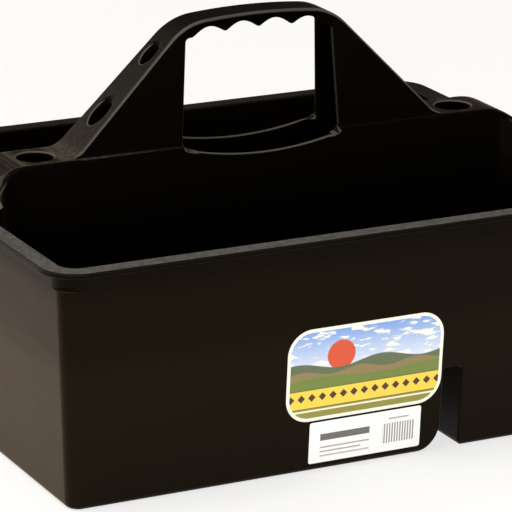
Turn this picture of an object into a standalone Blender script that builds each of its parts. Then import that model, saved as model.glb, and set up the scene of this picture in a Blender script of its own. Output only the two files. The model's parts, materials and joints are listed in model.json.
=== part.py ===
"""Grooming tote: a moulded tub with two compartments and a hollow divider that rises into the handle.

X runs along the tote, Y from its front to its rear, Z up. The origin is the centre of the base.
"""

import math

import bmesh
import bpy
import numpy as np
from mathutils import Vector

MM = 0.001

# Rim, walls and floor of the tub
RIM_LENGTH = 406 * MM
RIM_WIDTH = 314 * MM
RIM_HEIGHT = 151.5 * MM
RIM_THICKNESS = 3.6 * MM
RIM_OVERHANG = 7.5 * MM
RIM_TOP_WIDTH = 13 * MM
RIM_CORNER_RADIUS = 24 * MM
RIM_EDGE_RADIUS = 1.6 * MM
NECK_HEIGHT = 9.5 * MM
NECK_SET_BACK = 0.2 * MM
BODY_CORNER_RADIUS = 9 * MM
WALL = 4 * MM
FLOOR = 4 * MM
WALL_DRAFT = math.radians(3.5)
BASE_EDGE_RADIUS = 4 * MM
FLOOR_FILLET = 4 * MM
LEAST_CORNER_RADIUS = 1 * MM

# Channel under the floor, open at the front, the rear and the bottom
CHANNEL_OFFSET = 68.5 * MM
CHANNEL_WIDTH = 13.2 * MM
CHANNEL_HEIGHT = 54 * MM
CHANNEL_TOP_RADIUS = 2.5 * MM
CHANNEL_WIDE_LEAD_IN = 18 * MM
CHANNEL_TIGHT_LEAD_IN = 5 * MM
LEAST_LEAD_IN = 0.4 * MM

# Divider: the lower part of the hollow insert
PLATFORM_ABOVE_RIM = 25 * MM
DIVIDER_TOP_WIDTH = 42 * MM
DIVIDER_DRAFT = math.radians(3.5)
DIVIDER_WALL = 3 * MM
LEDGE_RADIUS = 5 * MM
LEAST_INNER_LEDGE = 1.2 * MM
END_FILLET_RADIUS = 22 * MM

# Shoulders that run down from the platforms onto the end rims
SHOULDER_LENGTH = 33 * MM
SHOULDER_RADIUS = 34 * MM
SHOULDER_END_THICKNESS = 4 * MM
SHOULDER_END_RADIUS = 2.6 * MM
SHOULDER_END_FLAT = 1 * MM
SHOULDER_CROWN_SPREAD = 1.1
SHOULDER_EDGE_DROP = 0.9 * MM

# Handle: the arch above the platforms
PLATFORM_LENGTH = 43 * MM
HANDLE_RISE = 79 * MM
HANDLE_BASE_WIDTH = 33 * MM
HANDLE_DRAFT = math.radians(3.7)
GRIP_LENGTH = 102 * MM
GRIP_CROWN_RADIUS = 400 * MM
GRIP_END_ANGLE = math.radians(5)
KNEE_RADIUS = 38 * MM
SLOPE_FOOT_RADIUS = 20 * MM
SLOPE_TAIL_LENGTH = 12 * MM
SLOPE_TAIL_DROP = 1.2 * MM
SPINE_EDGE_RADIUS = 3.5 * MM
LEAST_INNER_EDGE = 0.8 * MM
HANDLE_WALL = 3 * MM

# Hand opening through both webs, with finger scallops under the grip and a dipped sill
OPENING_TOP_LENGTH = 101 * MM
OPENING_SILL_LENGTH = 109 * MM
OPENING_TOP_CORNER = 3 * MM
OPENING_SILL_CORNER = 4 * MM
SILL_BELOW_PLATFORM = 1.5 * MM
SILL_DIP = 7 * MM
GRIP_DEPTH = 9.5 * MM
GRIP_UNDERSIDE_RADIUS = 400 * MM
FINGER_COUNT = 4
FINGER_PITCH = 23 * MM
FINGER_RISE = 4.6 * MM
FINGERS_FROM_OPENING_ENDS = 2 * MM

# Round holes that hold tools upright
PLATFORM_HOLE_DIAMETER = 23.5 * MM
PLATFORM_HOLE_FROM_END = 56 * MM
LOWER_SLOPE_HOLE_DIAMETER = 15 * MM
LOWER_SLOPE_HOLE_FROM_FOOT = 24 * MM
UPPER_SLOPE_HOLE_DIAMETER = 12.5 * MM
UPPER_SLOPE_HOLE_FROM_FOOT = 57.5 * MM

# Labels on the front wall
LABEL_THICKNESS = 0.5 * MM
PICTURE_LABEL_LENGTH = 107 * MM
PICTURE_LABEL_HEIGHT = 60 * MM
PICTURE_LABEL_RADIUS = 16 * MM
PICTURE_LABEL_FROM_CHANNEL = 1.5 * MM
PICTURE_LABEL_FROM_TAG = 1.3 * MM
TAG_LENGTH = 77 * MM
TAG_HEIGHT = 27 * MM
TAG_RADIUS = 1.5 * MM
TAG_FROM_CHANNEL = 14.4 * MM
TAG_FROM_BASE = 5.2 * MM

# Gap between touching pieces, and how far a cutter or a hidden overlap reaches past what it cuts
GAP = 0.3 * MM
REACH = 10 * MM

# Facets of the round stretches
CORNER_STEPS = 8
ARC_STEPS = 5
CROWN_STEPS = 8
SHOULDER_EDGE_STEPS = 3
SHOULDER_STEPS = 12
END_FILLET_STEPS = 7
SILL_STEPS = 14
SCALLOP_STEPS = 6
HOLE_STEPS = 28
LEAST_STATION_SPACING = 0.3 * MM
SHARP_ANGLE = math.radians(30)

HALF_LENGTH = RIM_LENGTH / 2
HALF_WIDTH = RIM_WIDTH / 2
RIM_UNDERSIDE = RIM_HEIGHT - RIM_THICKNESS
NECK_BOTTOM = RIM_UNDERSIDE - NECK_HEIGHT
PLATFORM_HEIGHT = RIM_HEIGHT + PLATFORM_ABOVE_RIM
SLOPE_FOOT = HALF_LENGTH - SHOULDER_LENGTH - PLATFORM_LENGTH
CHANNEL_LEFT = CHANNEL_OFFSET - CHANNEL_WIDTH / 2
CHANNEL_RIGHT = CHANNEL_OFFSET + CHANNEL_WIDTH / 2


def wall_inset(z):
    """Distance from the rim's outer edge in to the drafted outer wall at height z."""
    return RIM_OVERHANG + (RIM_UNDERSIDE - z) * math.tan(WALL_DRAFT)


def inner_inset(z):
    """Distance from the rim's outer edge in to the inner face, which runs straight down to the floor."""
    floor_inset = wall_inset(FLOOR) + WALL
    share = (RIM_HEIGHT - z) / (RIM_HEIGHT - FLOOR)
    return RIM_TOP_WIDTH + share * (floor_inset - RIM_TOP_WIDTH)


def inner_end(z):
    """|X| of the end walls' inner face at height z."""
    return HALF_LENGTH - inner_inset(z)


def clear_scene():
    for thing in list(bpy.data.objects):
        bpy.data.objects.remove(thing, do_unlink=True)


def make_material(name, colour, roughness):
    material = bpy.data.materials.new(name)
    material.use_nodes = True
    shader = material.node_tree.nodes["Principled BSDF"]
    shader.inputs["Base Color"].default_value = (*colour, 1)
    shader.inputs["Roughness"].default_value = roughness
    shader.inputs["Metallic"].default_value = 0
    return material


def filleted(corners, radii, steps=ARC_STEPS):
    """The line through corners, with each one rounded to its radius or to what its sides allow."""
    corners = [Vector(corner) for corner in corners]
    half_turns = []
    for before, corner, after in zip(corners, corners[1:], corners[2:]):
        half_turns.append((math.pi - (before - corner).angle(after - corner)) / 2)
    tangents = [0.0] + [radius * math.tan(turn) for radius, turn in zip(radii, half_turns)] + [0.0]
    for index, (start, end) in enumerate(zip(corners, corners[1:])):
        room = 0.98 * (end - start).length / max(tangents[index] + tangents[index + 1], 1e-9)
        if room < 1:
            tangents[index] *= room
            tangents[index + 1] *= room
    path = [corners[0]]
    for index, turn in enumerate(half_turns):
        before, corner, after = corners[index : index + 3]
        tangent = tangents[index + 1]
        radius = tangent / math.tan(turn)
        to_before = (before - corner).normalized()
        to_after = (after - corner).normalized()
        centre = corner + (to_before + to_after).normalized() * (radius / math.cos(turn))
        first_arm = (corner + to_before * tangent - centre).normalized()
        last_arm = (corner + to_after * tangent - centre).normalized()
        for step in range(steps + 1):
            path.append(centre + first_arm.slerp(last_arm, step / steps) * radius)
    path.append(corners[-1])
    return [(point.x, point.y) for point in path]


def rounded_rectangle(half_length, half_width, radius, steps=CORNER_STEPS):
    """Points around a rounded rectangle, anticlockwise from its right side."""
    points = []
    for quarter, (sign_x, sign_y) in enumerate([(1, 1), (-1, 1), (-1, -1), (1, -1)]):
        centre_x = sign_x * (half_length - radius)
        centre_y = sign_y * (half_width - radius)
        for step in range(steps + 1):
            angle = (quarter + step / steps) * math.pi / 2
            points.append((centre_x + radius * math.cos(angle), centre_y + radius * math.sin(angle)))
    return points


def add_object(name, mesh, material=None):
    """An object that holds this mesh. Without a material it is a helper that isn't part of the tote."""
    thing = bpy.data.objects.new(name, mesh)
    bpy.context.scene.collection.objects.link(thing)
    if material:
        mesh.materials.append(material)
    else:
        thing.hide_render = True
        thing.display_type = "WIRE"
    mesh.shade_smooth()
    mesh.set_sharp_from_angle(angle=SHARP_ANGLE)
    return thing


def loft(name, rings, material=None):
    """A closed body whose skin runs through rings of equally many points and ends in two flat caps."""
    shape = bmesh.new()
    loops = [[shape.verts.new(point) for point in ring] for ring in rings]
    for lower, upper in zip(loops, loops[1:]):
        for index, vertex in enumerate(lower):
            following = (index + 1) % len(lower)
            shape.faces.new((vertex, lower[following], upper[following], upper[index]))
    shape.faces.new(reversed(loops[0]))
    shape.faces.new(loops[-1])
    bmesh.ops.recalc_face_normals(shape, faces=shape.faces)
    mesh = bpy.data.meshes.new(name)
    shape.to_mesh(mesh)
    shape.free()
    return add_object(name, mesh, material)


def prism_along_y(name, outline, y_front, y_rear):
    """An X-Z outline carried along Y. Each end is one Y value, or a function of the height."""

    def end_at(limit, z):
        return limit(z) if callable(limit) else limit

    front = [(x, end_at(y_front, z), z) for x, z in outline]
    rear = [(x, end_at(y_rear, z), z) for x, z in outline]
    return loft(name, [front, rear])


def combine(target, tool, operation):
    modifier = target.modifiers.new(f"{operation.lower()} {tool.name}", "BOOLEAN")
    modifier.operation = operation
    modifier.solver = "EXACT"
    modifier.object = tool


def channel_outline(grow, foot):
    """The channel's X-Z outline down to foot, grown outwards, with lead-in arcs that keep their centres."""
    left = CHANNEL_LEFT - grow
    right = CHANNEL_RIGHT + grow
    top = CHANNEL_HEIGHT + grow
    wide = max(CHANNEL_WIDE_LEAD_IN - grow, LEAST_LEAD_IN)
    tight = max(CHANNEL_TIGHT_LEAD_IN - grow, LEAST_LEAD_IN)
    rounding = CHANNEL_TOP_RADIUS + grow
    half_turn = math.pi / 2
    outline = [(left - wide, foot)]
    for step in range(ARC_STEPS + 1):
        angle = half_turn * step / ARC_STEPS
        outline.append((left - wide + wide * math.sin(angle), grow + wide - wide * math.cos(angle)))
    outline += filleted(
        [(left, top - rounding), (left, top), (right, top), (right, top - rounding)],
        [rounding, rounding],
    )
    for step in range(ARC_STEPS + 1):
        angle = half_turn * step / ARC_STEPS
        outline.append((right + tight - tight * math.cos(angle), grow + tight - tight * math.sin(angle)))
    outline.append((right + tight, foot))
    return outline


def tub_rings():
    """Rings of the tub's skin: under the base, up the outside, over the rim flange and down the inside."""
    rings = []

    def add(inset, radius, z):
        outline = rounded_rectangle(HALF_LENGTH - inset, HALF_WIDTH - inset, radius)
        rings.append([(x, y, z) for x, y in outline])

    def quarter(start, end, bulge_first):
        """Insets and heights along a quarter ellipse between two points, which leaves along one axis."""
        for step in range(ARC_STEPS + 1):
            angle = math.pi / 2 * step / ARC_STEPS
            along = math.sin(angle)
            across = 1 - math.cos(angle)
            if bulge_first:
                along, across = across, along
            yield (
                start[0] + (end[0] - start[0]) * along,
                start[1] + (end[1] - start[1]) * across,
            )

    base_inset = wall_inset(BASE_EDGE_RADIUS)
    for inset, z in quarter((base_inset + BASE_EDGE_RADIUS, 0), (base_inset, BASE_EDGE_RADIUS), False):
        add(inset, max(BODY_CORNER_RADIUS - (inset - base_inset), LEAST_CORNER_RADIUS), z)
    add(wall_inset(NECK_BOTTOM), BODY_CORNER_RADIUS, NECK_BOTTOM)

    neck_inset = wall_inset(NECK_BOTTOM) + NECK_SET_BACK
    neck_radius = RIM_CORNER_RADIUS - RIM_OVERHANG
    add(neck_inset, neck_radius, NECK_BOTTOM)
    add(RIM_OVERHANG + NECK_SET_BACK, neck_radius, RIM_UNDERSIDE)

    edge = min(RIM_EDGE_RADIUS, 0.45 * RIM_THICKNESS)
    for inset, z in quarter((edge, RIM_UNDERSIDE), (0, RIM_UNDERSIDE + edge), False):
        add(inset, RIM_CORNER_RADIUS - inset, z)
    for inset, z in quarter((0, RIM_HEIGHT - edge), (edge, RIM_HEIGHT), True):
        add(inset, RIM_CORNER_RADIUS - inset, z)

    lip = inner_inset(RIM_HEIGHT - edge)
    for inset, z in quarter((lip - edge, RIM_HEIGHT), (lip, RIM_HEIGHT - edge), False):
        add(inset, max(RIM_CORNER_RADIUS - inset, LEAST_CORNER_RADIUS), z)

    fillet_top = FLOOR + FLOOR_FILLET
    floor_inset = inner_inset(fillet_top)
    floor_radius = max(BODY_CORNER_RADIUS - WALL, LEAST_CORNER_RADIUS)
    start = (floor_inset, fillet_top)
    end = (floor_inset + FLOOR_FILLET, FLOOR)
    for inset, z in quarter(start, end, True):
        add(inset, floor_radius + end[0] - inset, z)
    return rings


def make_tub(material):
    """The tub: a lofted shell, a ridge that covers the channel inside, and the channel itself."""
    tub = loft("tub", tub_rings(), material)

    def middle_of_wall(z):
        return HALF_WIDTH - (wall_inset(z) + inner_inset(z)) / 2

    ridge = prism_along_y(
        "channel_ridge",
        channel_outline(WALL, FLOOR / 2),
        lambda z: -middle_of_wall(z),
        middle_of_wall,
    )
    channel = prism_along_y(
        "channel_cutter",
        channel_outline(0, -REACH),
        -HALF_WIDTH - REACH,
        HALF_WIDTH + REACH,
    )
    combine(tub, ridge, "UNION")
    combine(tub, channel, "DIFFERENCE")
    return tub


def divider_top(x):
    """Height of the divider's crown at |X|: platform, shoulder, and the rounded edge over the end rim."""
    corners = [
        (0, PLATFORM_HEIGHT),
        (HALF_LENGTH - SHOULDER_LENGTH, PLATFORM_HEIGHT),
        (HALF_LENGTH, RIM_HEIGHT + SHOULDER_END_THICKNESS),
    ]
    path = np.array(filleted(corners, [SHOULDER_RADIUS], SHOULDER_STEPS))
    edge = shoulder_edge()
    past = min(max(abs(x) - HALF_LENGTH + edge, 0), edge)
    drop = edge - math.sqrt(edge**2 - past**2)
    return float(np.interp(abs(x), path[:, 0], path[:, 1])) - drop


def shoulder_edge():
    """Radius of the shoulder's outer edge, which leaves a flat of the end's thickness under it."""
    return max(min(SHOULDER_END_RADIUS, SHOULDER_END_THICKNESS - SHOULDER_END_FLAT), 0)


def end_flare(x, plate):
    """Extra half width where the divider's sides sweep out to its end plates through a quarter circle."""
    start = plate - END_FILLET_RADIUS
    run = min(max(abs(x) - start, 0), END_FILLET_RADIUS)
    return END_FILLET_RADIUS - math.sqrt(END_FILLET_RADIUS**2 - run**2)


def divider_stations(reach):
    """X of the divider's sections up to reach, closer along the shoulders and end fillets."""
    plate = inner_end(RIM_HEIGHT) - GAP - DIVIDER_WALL
    fillet = []
    for step in range(END_FILLET_STEPS + 1):
        angle = math.pi / 2 * step / END_FILLET_STEPS
        fillet.append(plate - END_FILLET_RADIUS * (1 - math.sin(angle)))
    shoulder_start = HALF_LENGTH - SHOULDER_LENGTH - SHOULDER_RADIUS / 2
    shoulder = list(np.linspace(shoulder_start, HALF_LENGTH, SHOULDER_STEPS + 2))
    edge = []
    for step in range(SHOULDER_EDGE_STEPS):
        angle = math.pi / 2 * step / SHOULDER_EDGE_STEPS
        edge.append(HALF_LENGTH - shoulder_edge() * (1 - math.sin(angle)))
    spread = [SLOPE_FOOT / 2]
    for x in sorted(fillet + shoulder + edge + [SLOPE_FOOT]):
        if LEAST_STATION_SPACING < min(x - spread[-1], reach - x):
            spread.append(x)
    spread.append(reach)
    return [-x for x in reversed(spread)] + spread


def divider_section(x, inset, bottom):
    """One section across the divider: two drafted sides and a flat crown with rounded ledges."""
    plate = inner_end(RIM_HEIGHT) - GAP - DIVIDER_WALL
    flare = end_flare(x, plate)
    top = divider_top(x) - inset
    slope = math.tan(DIVIDER_DRAFT)
    side_inset = inset / math.cos(DIVIDER_DRAFT)
    across = max(LEDGE_RADIUS + SHOULDER_CROWN_SPREAD * flare - inset, LEAST_INNER_LEDGE)
    down = max(LEDGE_RADIUS - inset, LEAST_INNER_LEDGE) + SHOULDER_EDGE_DROP * flare / END_FILLET_RADIUS

    def half_width(z):
        return DIVIDER_TOP_WIDTH / 2 + flare + (PLATFORM_HEIGHT - z) * slope - side_inset

    def lean(z):
        """Share of X that is left at a height, so that the ends follow the tub's drafted end walls."""
        end_draft = (inner_end(RIM_HEIGHT) - inner_end(FLOOR)) / (RIM_HEIGHT - FLOOR)
        below_end = RIM_HEIGHT + SHOULDER_END_THICKNESS - z
        return 1 - below_end * end_draft / inner_end(RIM_HEIGHT)

    edge = half_width(top - down)
    half = [(half_width(bottom), bottom), (edge, top - down)]
    for step in range(1, ARC_STEPS + 1):
        angle = math.pi / 2 * step / ARC_STEPS
        half.append((edge - across + across * math.cos(angle), top - down + down * math.sin(angle)))
    ring = [(-y, z) for y, z in half] + [(y, z) for y, z in reversed(half)]
    return [(x * lean(z), y, z) for y, z in ring]


def handle_profile():
    """X-Z line of the spine's crown from the left platform over the grip to the right platform."""
    apex = HANDLE_RISE + PLATFORM_HEIGHT + GRIP_CROWN_RADIUS * (1 / math.cos(GRIP_END_ANGLE) - 1)
    knee = (GRIP_LENGTH / 2, apex - GRIP_LENGTH / 2 * math.tan(GRIP_END_ANGLE))
    foot = (SLOPE_FOOT, PLATFORM_HEIGHT)
    end = (SLOPE_FOOT + SLOPE_TAIL_LENGTH, PLATFORM_HEIGHT - SLOPE_TAIL_DROP)
    corners = [
        (-end[0], end[1]),
        (-foot[0], foot[1]),
        (-knee[0], knee[1]),
        (0, apex),
        knee,
        foot,
        end,
    ]
    radii = [SLOPE_FOOT_RADIUS, KNEE_RADIUS, GRIP_CROWN_RADIUS, KNEE_RADIUS, SLOPE_FOOT_RADIUS]
    return filleted(corners, radii, CROWN_STEPS)


def handle_section(x, top, inset, bottom):
    """One section of the handle across its length: two drafted webs and a crown with rounded edges."""
    slope = math.tan(HANDLE_DRAFT)
    side_inset = inset / math.cos(HANDLE_DRAFT)
    rounding = max(SPINE_EDGE_RADIUS - inset, LEAST_INNER_EDGE)

    def half_width(z):
        return HANDLE_BASE_WIDTH / 2 - (z - PLATFORM_HEIGHT) * slope - side_inset

    edge = half_width(top - rounding)
    half = [(half_width(bottom), bottom), (edge, top - rounding)]
    for step in range(1, ARC_STEPS):
        angle = math.pi / 2 * step / (ARC_STEPS - 1)
        y = edge - rounding + rounding * math.cos(angle)
        half.append((y, top - rounding + rounding * math.sin(angle)))
    ring = [(-y, z) for y, z in half] + [(y, z) for y, z in reversed(half)]
    return [(x, y, z) for y, z in ring]


def handle_ceiling(profile):
    """X-Z line of the hollow's ceiling: the crown's line, one wall thickness inside it square to its slope."""
    x, z = np.array(profile).T
    slope = np.gradient(z, x)
    ceiling = z - HANDLE_WALL * np.sqrt(1 + slope**2)
    inside = abs(x) < SLOPE_FOOT
    return list(zip(x[inside].tolist(), ceiling[inside].tolist()))


def end_block(name, inset):
    """Prisms shaped as the tub's end walls and rims, grown by the gap and by inset, to cut the insert."""
    floor_level = FLOOR + GAP + FLOOR_FILLET
    seat = RIM_HEIGHT + GAP + inset

    def face(z):
        return inner_end(z) - GAP - inset

    outline = [
        (face(floor_level) - FLOOR_FILLET - REACH, -REACH),
        (face(floor_level) - FLOOR_FILLET, floor_level - FLOOR_FILLET),
        (face(floor_level), floor_level),
        (face(seat), seat),
        (HALF_LENGTH + REACH, seat),
        (HALF_LENGTH + REACH, -REACH),
    ]
    reach = HALF_WIDTH + REACH
    right = prism_along_y(f"{name}_right", outline, -reach, reach)
    left = prism_along_y(f"{name}_left", [(-x, z) for x, z in outline], -reach, reach)
    return left, right


def crown_height(x, profile):
    return float(np.interp(x, [point[0] for point in profile], [point[1] for point in profile]))


def opening_outline():
    """X-Z outline of the hand opening: a dipped sill, leaning sides and scallops on an arched underside."""
    half_sill = OPENING_SILL_LENGTH / 2
    sill_radius = (half_sill**2 + SILL_DIP**2) / (2 * SILL_DIP)
    half_top = OPENING_TOP_LENGTH / 2
    half_fingers = min(FINGER_COUNT * FINGER_PITCH / 2, half_top - FINGERS_FROM_OPENING_ENDS)

    def sill(x):
        dip = math.sqrt(sill_radius**2 - x**2) - sill_radius + SILL_DIP
        return x, PLATFORM_HEIGHT - SILL_BELOW_PLATFORM - dip

    def underside(x, rise=0):
        drop = GRIP_UNDERSIDE_RADIUS - math.sqrt(GRIP_UNDERSIDE_RADIUS**2 - x**2)
        return x, PLATFORM_HEIGHT + HANDLE_RISE - GRIP_DEPTH - drop + rise

    sill_end = half_sill - 2 * OPENING_SILL_CORNER
    side = filleted(
        [sill(sill_end), sill(half_sill), underside(half_top), underside(half_fingers)],
        [OPENING_SILL_CORNER, OPENING_TOP_CORNER],
        CORNER_STEPS,
    )
    outline = [sill(x) for x in np.linspace(-sill_end, sill_end, SILL_STEPS + 1)[1:-1].tolist()]
    outline += side
    scallop_steps = FINGER_COUNT * SCALLOP_STEPS
    for step in range(1, scallop_steps):
        rise = FINGER_RISE * abs(math.sin(math.pi * step / SCALLOP_STEPS))
        outline.append(underside(half_fingers * (1 - 2 * step / scallop_steps), rise))
    outline += [(-x, z) for x, z in reversed(side)]
    return outline


def tool_holes():
    """(X, diameter) of each round hole down through the spine, from one platform to the other."""
    upper = SLOPE_FOOT - UPPER_SLOPE_HOLE_FROM_FOOT
    lower = SLOPE_FOOT - LOWER_SLOPE_HOLE_FROM_FOOT
    platform = HALF_LENGTH - PLATFORM_HOLE_FROM_END
    right = [
        (upper, UPPER_SLOPE_HOLE_DIAMETER),
        (lower, LOWER_SLOPE_HOLE_DIAMETER),
        (platform, PLATFORM_HOLE_DIAMETER),
    ]
    return [(-x, diameter) for x, diameter in reversed(right)] + right


def hole_cutter(x, diameter):
    """An upright cylinder that passes through the crown above it and stops in the hollow."""
    crown = max(crown_height(x, handle_profile()), divider_top(x))
    rings = []
    for z in (crown - 3 * diameter - 2 * HANDLE_WALL, crown + 2 * diameter):
        ring = []
        for step in range(HOLE_STEPS):
            angle = 2 * math.pi * step / HOLE_STEPS
            ring.append((x + diameter / 2 * math.cos(angle), diameter / 2 * math.sin(angle), z))
        rings.append(ring)
    return loft(f"tool_hole_{round(x / MM)}", rings)


def make_divider_handle(material):
    """Divider and handle as one hollow moulding, open underneath, seated on the floor and end rims."""
    bottom = FLOOR + GAP
    sections = [divider_section(x, 0, bottom) for x in divider_stations(HALF_LENGTH)]
    insert = loft("divider_handle", sections, material)

    root = PLATFORM_HEIGHT - REACH
    profile = handle_profile()
    arch = loft("handle_arch", [handle_section(x, z, 0, root) for x, z in profile])
    combine(insert, arch, "UNION")
    for block in end_block("end_wall", 0):
        combine(insert, block, "DIFFERENCE")

    inner_stations = divider_stations(HALF_LENGTH - DIVIDER_WALL)
    inner_sections = [divider_section(x, DIVIDER_WALL, bottom - REACH) for x in inner_stations]
    hollow = loft("divider_hollow", inner_sections)
    inner_root = PLATFORM_HEIGHT - DIVIDER_WALL - REACH
    arch_hollow = loft(
        "handle_hollow",
        [handle_section(x, z, HANDLE_WALL, inner_root) for x, z in handle_ceiling(profile)],
    )
    combine(hollow, arch_hollow, "UNION")
    for block in end_block("end_plate", DIVIDER_WALL):
        combine(hollow, block, "DIFFERENCE")
    combine(insert, hollow, "DIFFERENCE")

    reach = DIVIDER_TOP_WIDTH
    combine(insert, prism_along_y("opening_cutter", opening_outline(), -reach, reach), "DIFFERENCE")
    for x, diameter in tool_holes():
        combine(insert, hole_cutter(x, diameter), "DIFFERENCE")

    saddle = channel_outline(WALL + GAP, -REACH)
    reach = HALF_WIDTH
    combine(insert, prism_along_y("ridge_saddle_cutter", saddle, -reach, reach), "DIFFERENCE")
    return insert


def make_label(name, length, height, radius, from_channel, from_base, material):
    """A thin sticker along the drafted front wall. Its right edge keeps its distance from the channel."""
    outline = rounded_rectangle(length / 2, height / 2, radius)
    label = loft(
        name,
        [[(x, y, 0) for x, y in outline], [(x, y, LABEL_THICKNESS) for x, y in outline]],
        material,
    )
    centre = from_base + height / 2 * math.cos(WALL_DRAFT)
    wall_y = -(HALF_WIDTH - wall_inset(centre))
    out = Vector((0, -math.cos(WALL_DRAFT), -math.sin(WALL_DRAFT)))
    label.rotation_euler = (math.pi / 2 + WALL_DRAFT, 0, 0)
    label.location = Vector((CHANNEL_LEFT - from_channel - length / 2, wall_y, centre)) + out * GAP
    return label


def main():
    clear_scene()
    polyethylene = make_material("black_polyethylene", (0.013, 0.012, 0.010), 0.42)
    picture_print = make_material("printed_film", (0.62, 0.55, 0.22), 0.4)
    tag_film = make_material("white_label_film", (0.8, 0.8, 0.78), 0.5)
    make_tub(polyethylene)
    make_divider_handle(polyethylene)
    make_label(
        "picture_label",
        PICTURE_LABEL_LENGTH,
        PICTURE_LABEL_HEIGHT,
        PICTURE_LABEL_RADIUS,
        PICTURE_LABEL_FROM_CHANNEL,
        TAG_FROM_BASE + TAG_HEIGHT + PICTURE_LABEL_FROM_TAG,
        picture_print,
    )
    make_label(
        "information_label",
        TAG_LENGTH,
        TAG_HEIGHT,
        TAG_RADIUS,
        TAG_FROM_CHANNEL,
        TAG_FROM_BASE,
        tag_film,
    )


if __name__ == "__main__":
    main()
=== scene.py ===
"""Looks of the grooming tote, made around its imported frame.

X runs along the tote, Y from its front to its rear and Z up, in metres. The origin is the centre of the base.
"""

import json
import logging
import math
from dataclasses import dataclass, field
from enum import Enum

import bmesh
import bpy
import numpy as np
from mathutils import Matrix, Vector

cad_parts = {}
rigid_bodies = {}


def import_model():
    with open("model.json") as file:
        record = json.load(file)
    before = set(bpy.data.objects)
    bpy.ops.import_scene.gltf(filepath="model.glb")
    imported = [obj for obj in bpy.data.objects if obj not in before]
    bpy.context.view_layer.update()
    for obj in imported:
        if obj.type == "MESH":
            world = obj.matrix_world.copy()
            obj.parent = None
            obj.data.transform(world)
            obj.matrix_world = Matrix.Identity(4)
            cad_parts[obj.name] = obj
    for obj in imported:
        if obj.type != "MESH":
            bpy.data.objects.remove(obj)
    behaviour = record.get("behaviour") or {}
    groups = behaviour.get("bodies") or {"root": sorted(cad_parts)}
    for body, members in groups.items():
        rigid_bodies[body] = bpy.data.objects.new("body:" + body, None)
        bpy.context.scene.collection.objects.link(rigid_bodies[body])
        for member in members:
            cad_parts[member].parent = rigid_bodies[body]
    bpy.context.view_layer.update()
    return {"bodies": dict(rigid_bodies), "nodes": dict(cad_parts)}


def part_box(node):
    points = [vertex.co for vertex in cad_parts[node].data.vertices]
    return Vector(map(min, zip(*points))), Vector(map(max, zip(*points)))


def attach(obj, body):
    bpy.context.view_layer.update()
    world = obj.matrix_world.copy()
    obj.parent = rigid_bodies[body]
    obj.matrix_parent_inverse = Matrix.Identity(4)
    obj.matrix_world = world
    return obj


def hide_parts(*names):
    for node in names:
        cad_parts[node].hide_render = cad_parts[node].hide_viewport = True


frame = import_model()

log = logging.getLogger("tote")

Array = np.ndarray
Mesh = bpy.types.Mesh
Thing = bpy.types.Object
Material = bpy.types.Material
Tree = bpy.types.NodeTree
Node = bpy.types.Node
Socket = bpy.types.NodeSocket
Outputs = bpy.types.NodeOutputs

MM = 0.001
QUARTER = math.pi / 2
# Points closer than this are one point
MERGE_DISTANCE = 0.002 * MM
# How far a cutter starts outside the skin that it cuts, and how far the others reach past it
PAST_THE_SKIN = 0.3 * MM
REACH = 10 * MM
# Edges that turn more stay sharp, and elsewhere the larger faces set the shading, by this weight
SHARP_ANGLE = math.radians(38)
LARGE_FACE_WEIGHT = 80
# Radius of the finest edge that shows wear and painted highlight, and the share of both on faces that stand
# upright
FINEST_EDGE = 0.3 * MM
SIDE_WEAR_AND_HIGHLIGHT = 0.4


class Cut(Enum):
    """How a tool changes the body that it meets."""

    ADD = "UNION"
    REMOVE = "DIFFERENCE"


class Along(Enum):
    """Direction in which wear and painted light on top fade."""

    LENGTH = "X"
    WIDTH = "Y"


# Outlines and surfaces


def arc(centre: tuple, radius: float, start: float, end: float, steps: int) -> Array:
    """Points along an arc.

    Formula: centre plus radius times (cos a, sin a), for angles a spaced evenly from start to end.

    Args:
        centre: The circle's centre.
        radius: Its radius.
        start: First angle in radians.
        end: Last angle in radians.
        steps: Number of chords.

    Returns:
        One point more than there are chords.
    """
    angle = np.linspace(start, end, steps + 1)
    return np.asarray(centre) + radius * np.column_stack([np.cos(angle), np.sin(angle)])


def rounded_path(corners: list, radii: list, steps: int) -> Array:
    """The line through corners, with an arc in place of each inner corner.

    Formula: each arc's centre lies on its corner's bisector, at the radius over the sine of half the angle.

    Args:
        corners: Points of two coordinates, both ends included.
        radii: One radius for each inner corner.
        steps: Chords on each arc.

    Returns:
        The line's points.
    """
    corners = np.asarray(corners, float)
    stretches = [corners[:1]]
    for before, corner, after, radius in zip(corners, corners[1:], corners[2:], radii):
        back = (before - corner) / np.linalg.norm(before - corner)
        on = (after - corner) / np.linalg.norm(after - corner)
        half = math.acos(np.clip(back @ on, -1, 1)) / 2
        middle = (back + on) / np.linalg.norm(back + on)
        centre = corner + middle * radius / math.sin(half)
        first = corner + back * radius / math.tan(half) - centre
        last = corner + on * radius / math.tan(half) - centre
        sweep = math.atan2(first[0] * last[1] - first[1] * last[0], first @ last)
        start = math.atan2(first[1], first[0])
        stretches.append(arc(centre, radius, start, start + sweep, steps))
    return np.vstack([*stretches, corners[-1:]])


def outward(outline: Array) -> Array:
    """Unit normals of a closed outline, pointing away from what it encloses.

    Formula: the chord between a point's two neighbours, turned by a right angle away from the enclosed side.

    Args:
        outline: Points around the outline.

    Returns:
        One unit vector for each point.
    """
    following = np.roll(outline, -1, axis=0)
    chord = following - np.roll(outline, 1, axis=0)
    area = np.sum(outline[:, 0] * following[:, 1] - following[:, 0] * outline[:, 1])
    normal = np.column_stack([chord[:, 1], -chord[:, 0]]) * np.sign(area)
    return normal / np.linalg.norm(normal, axis=1)[:, None]


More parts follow.
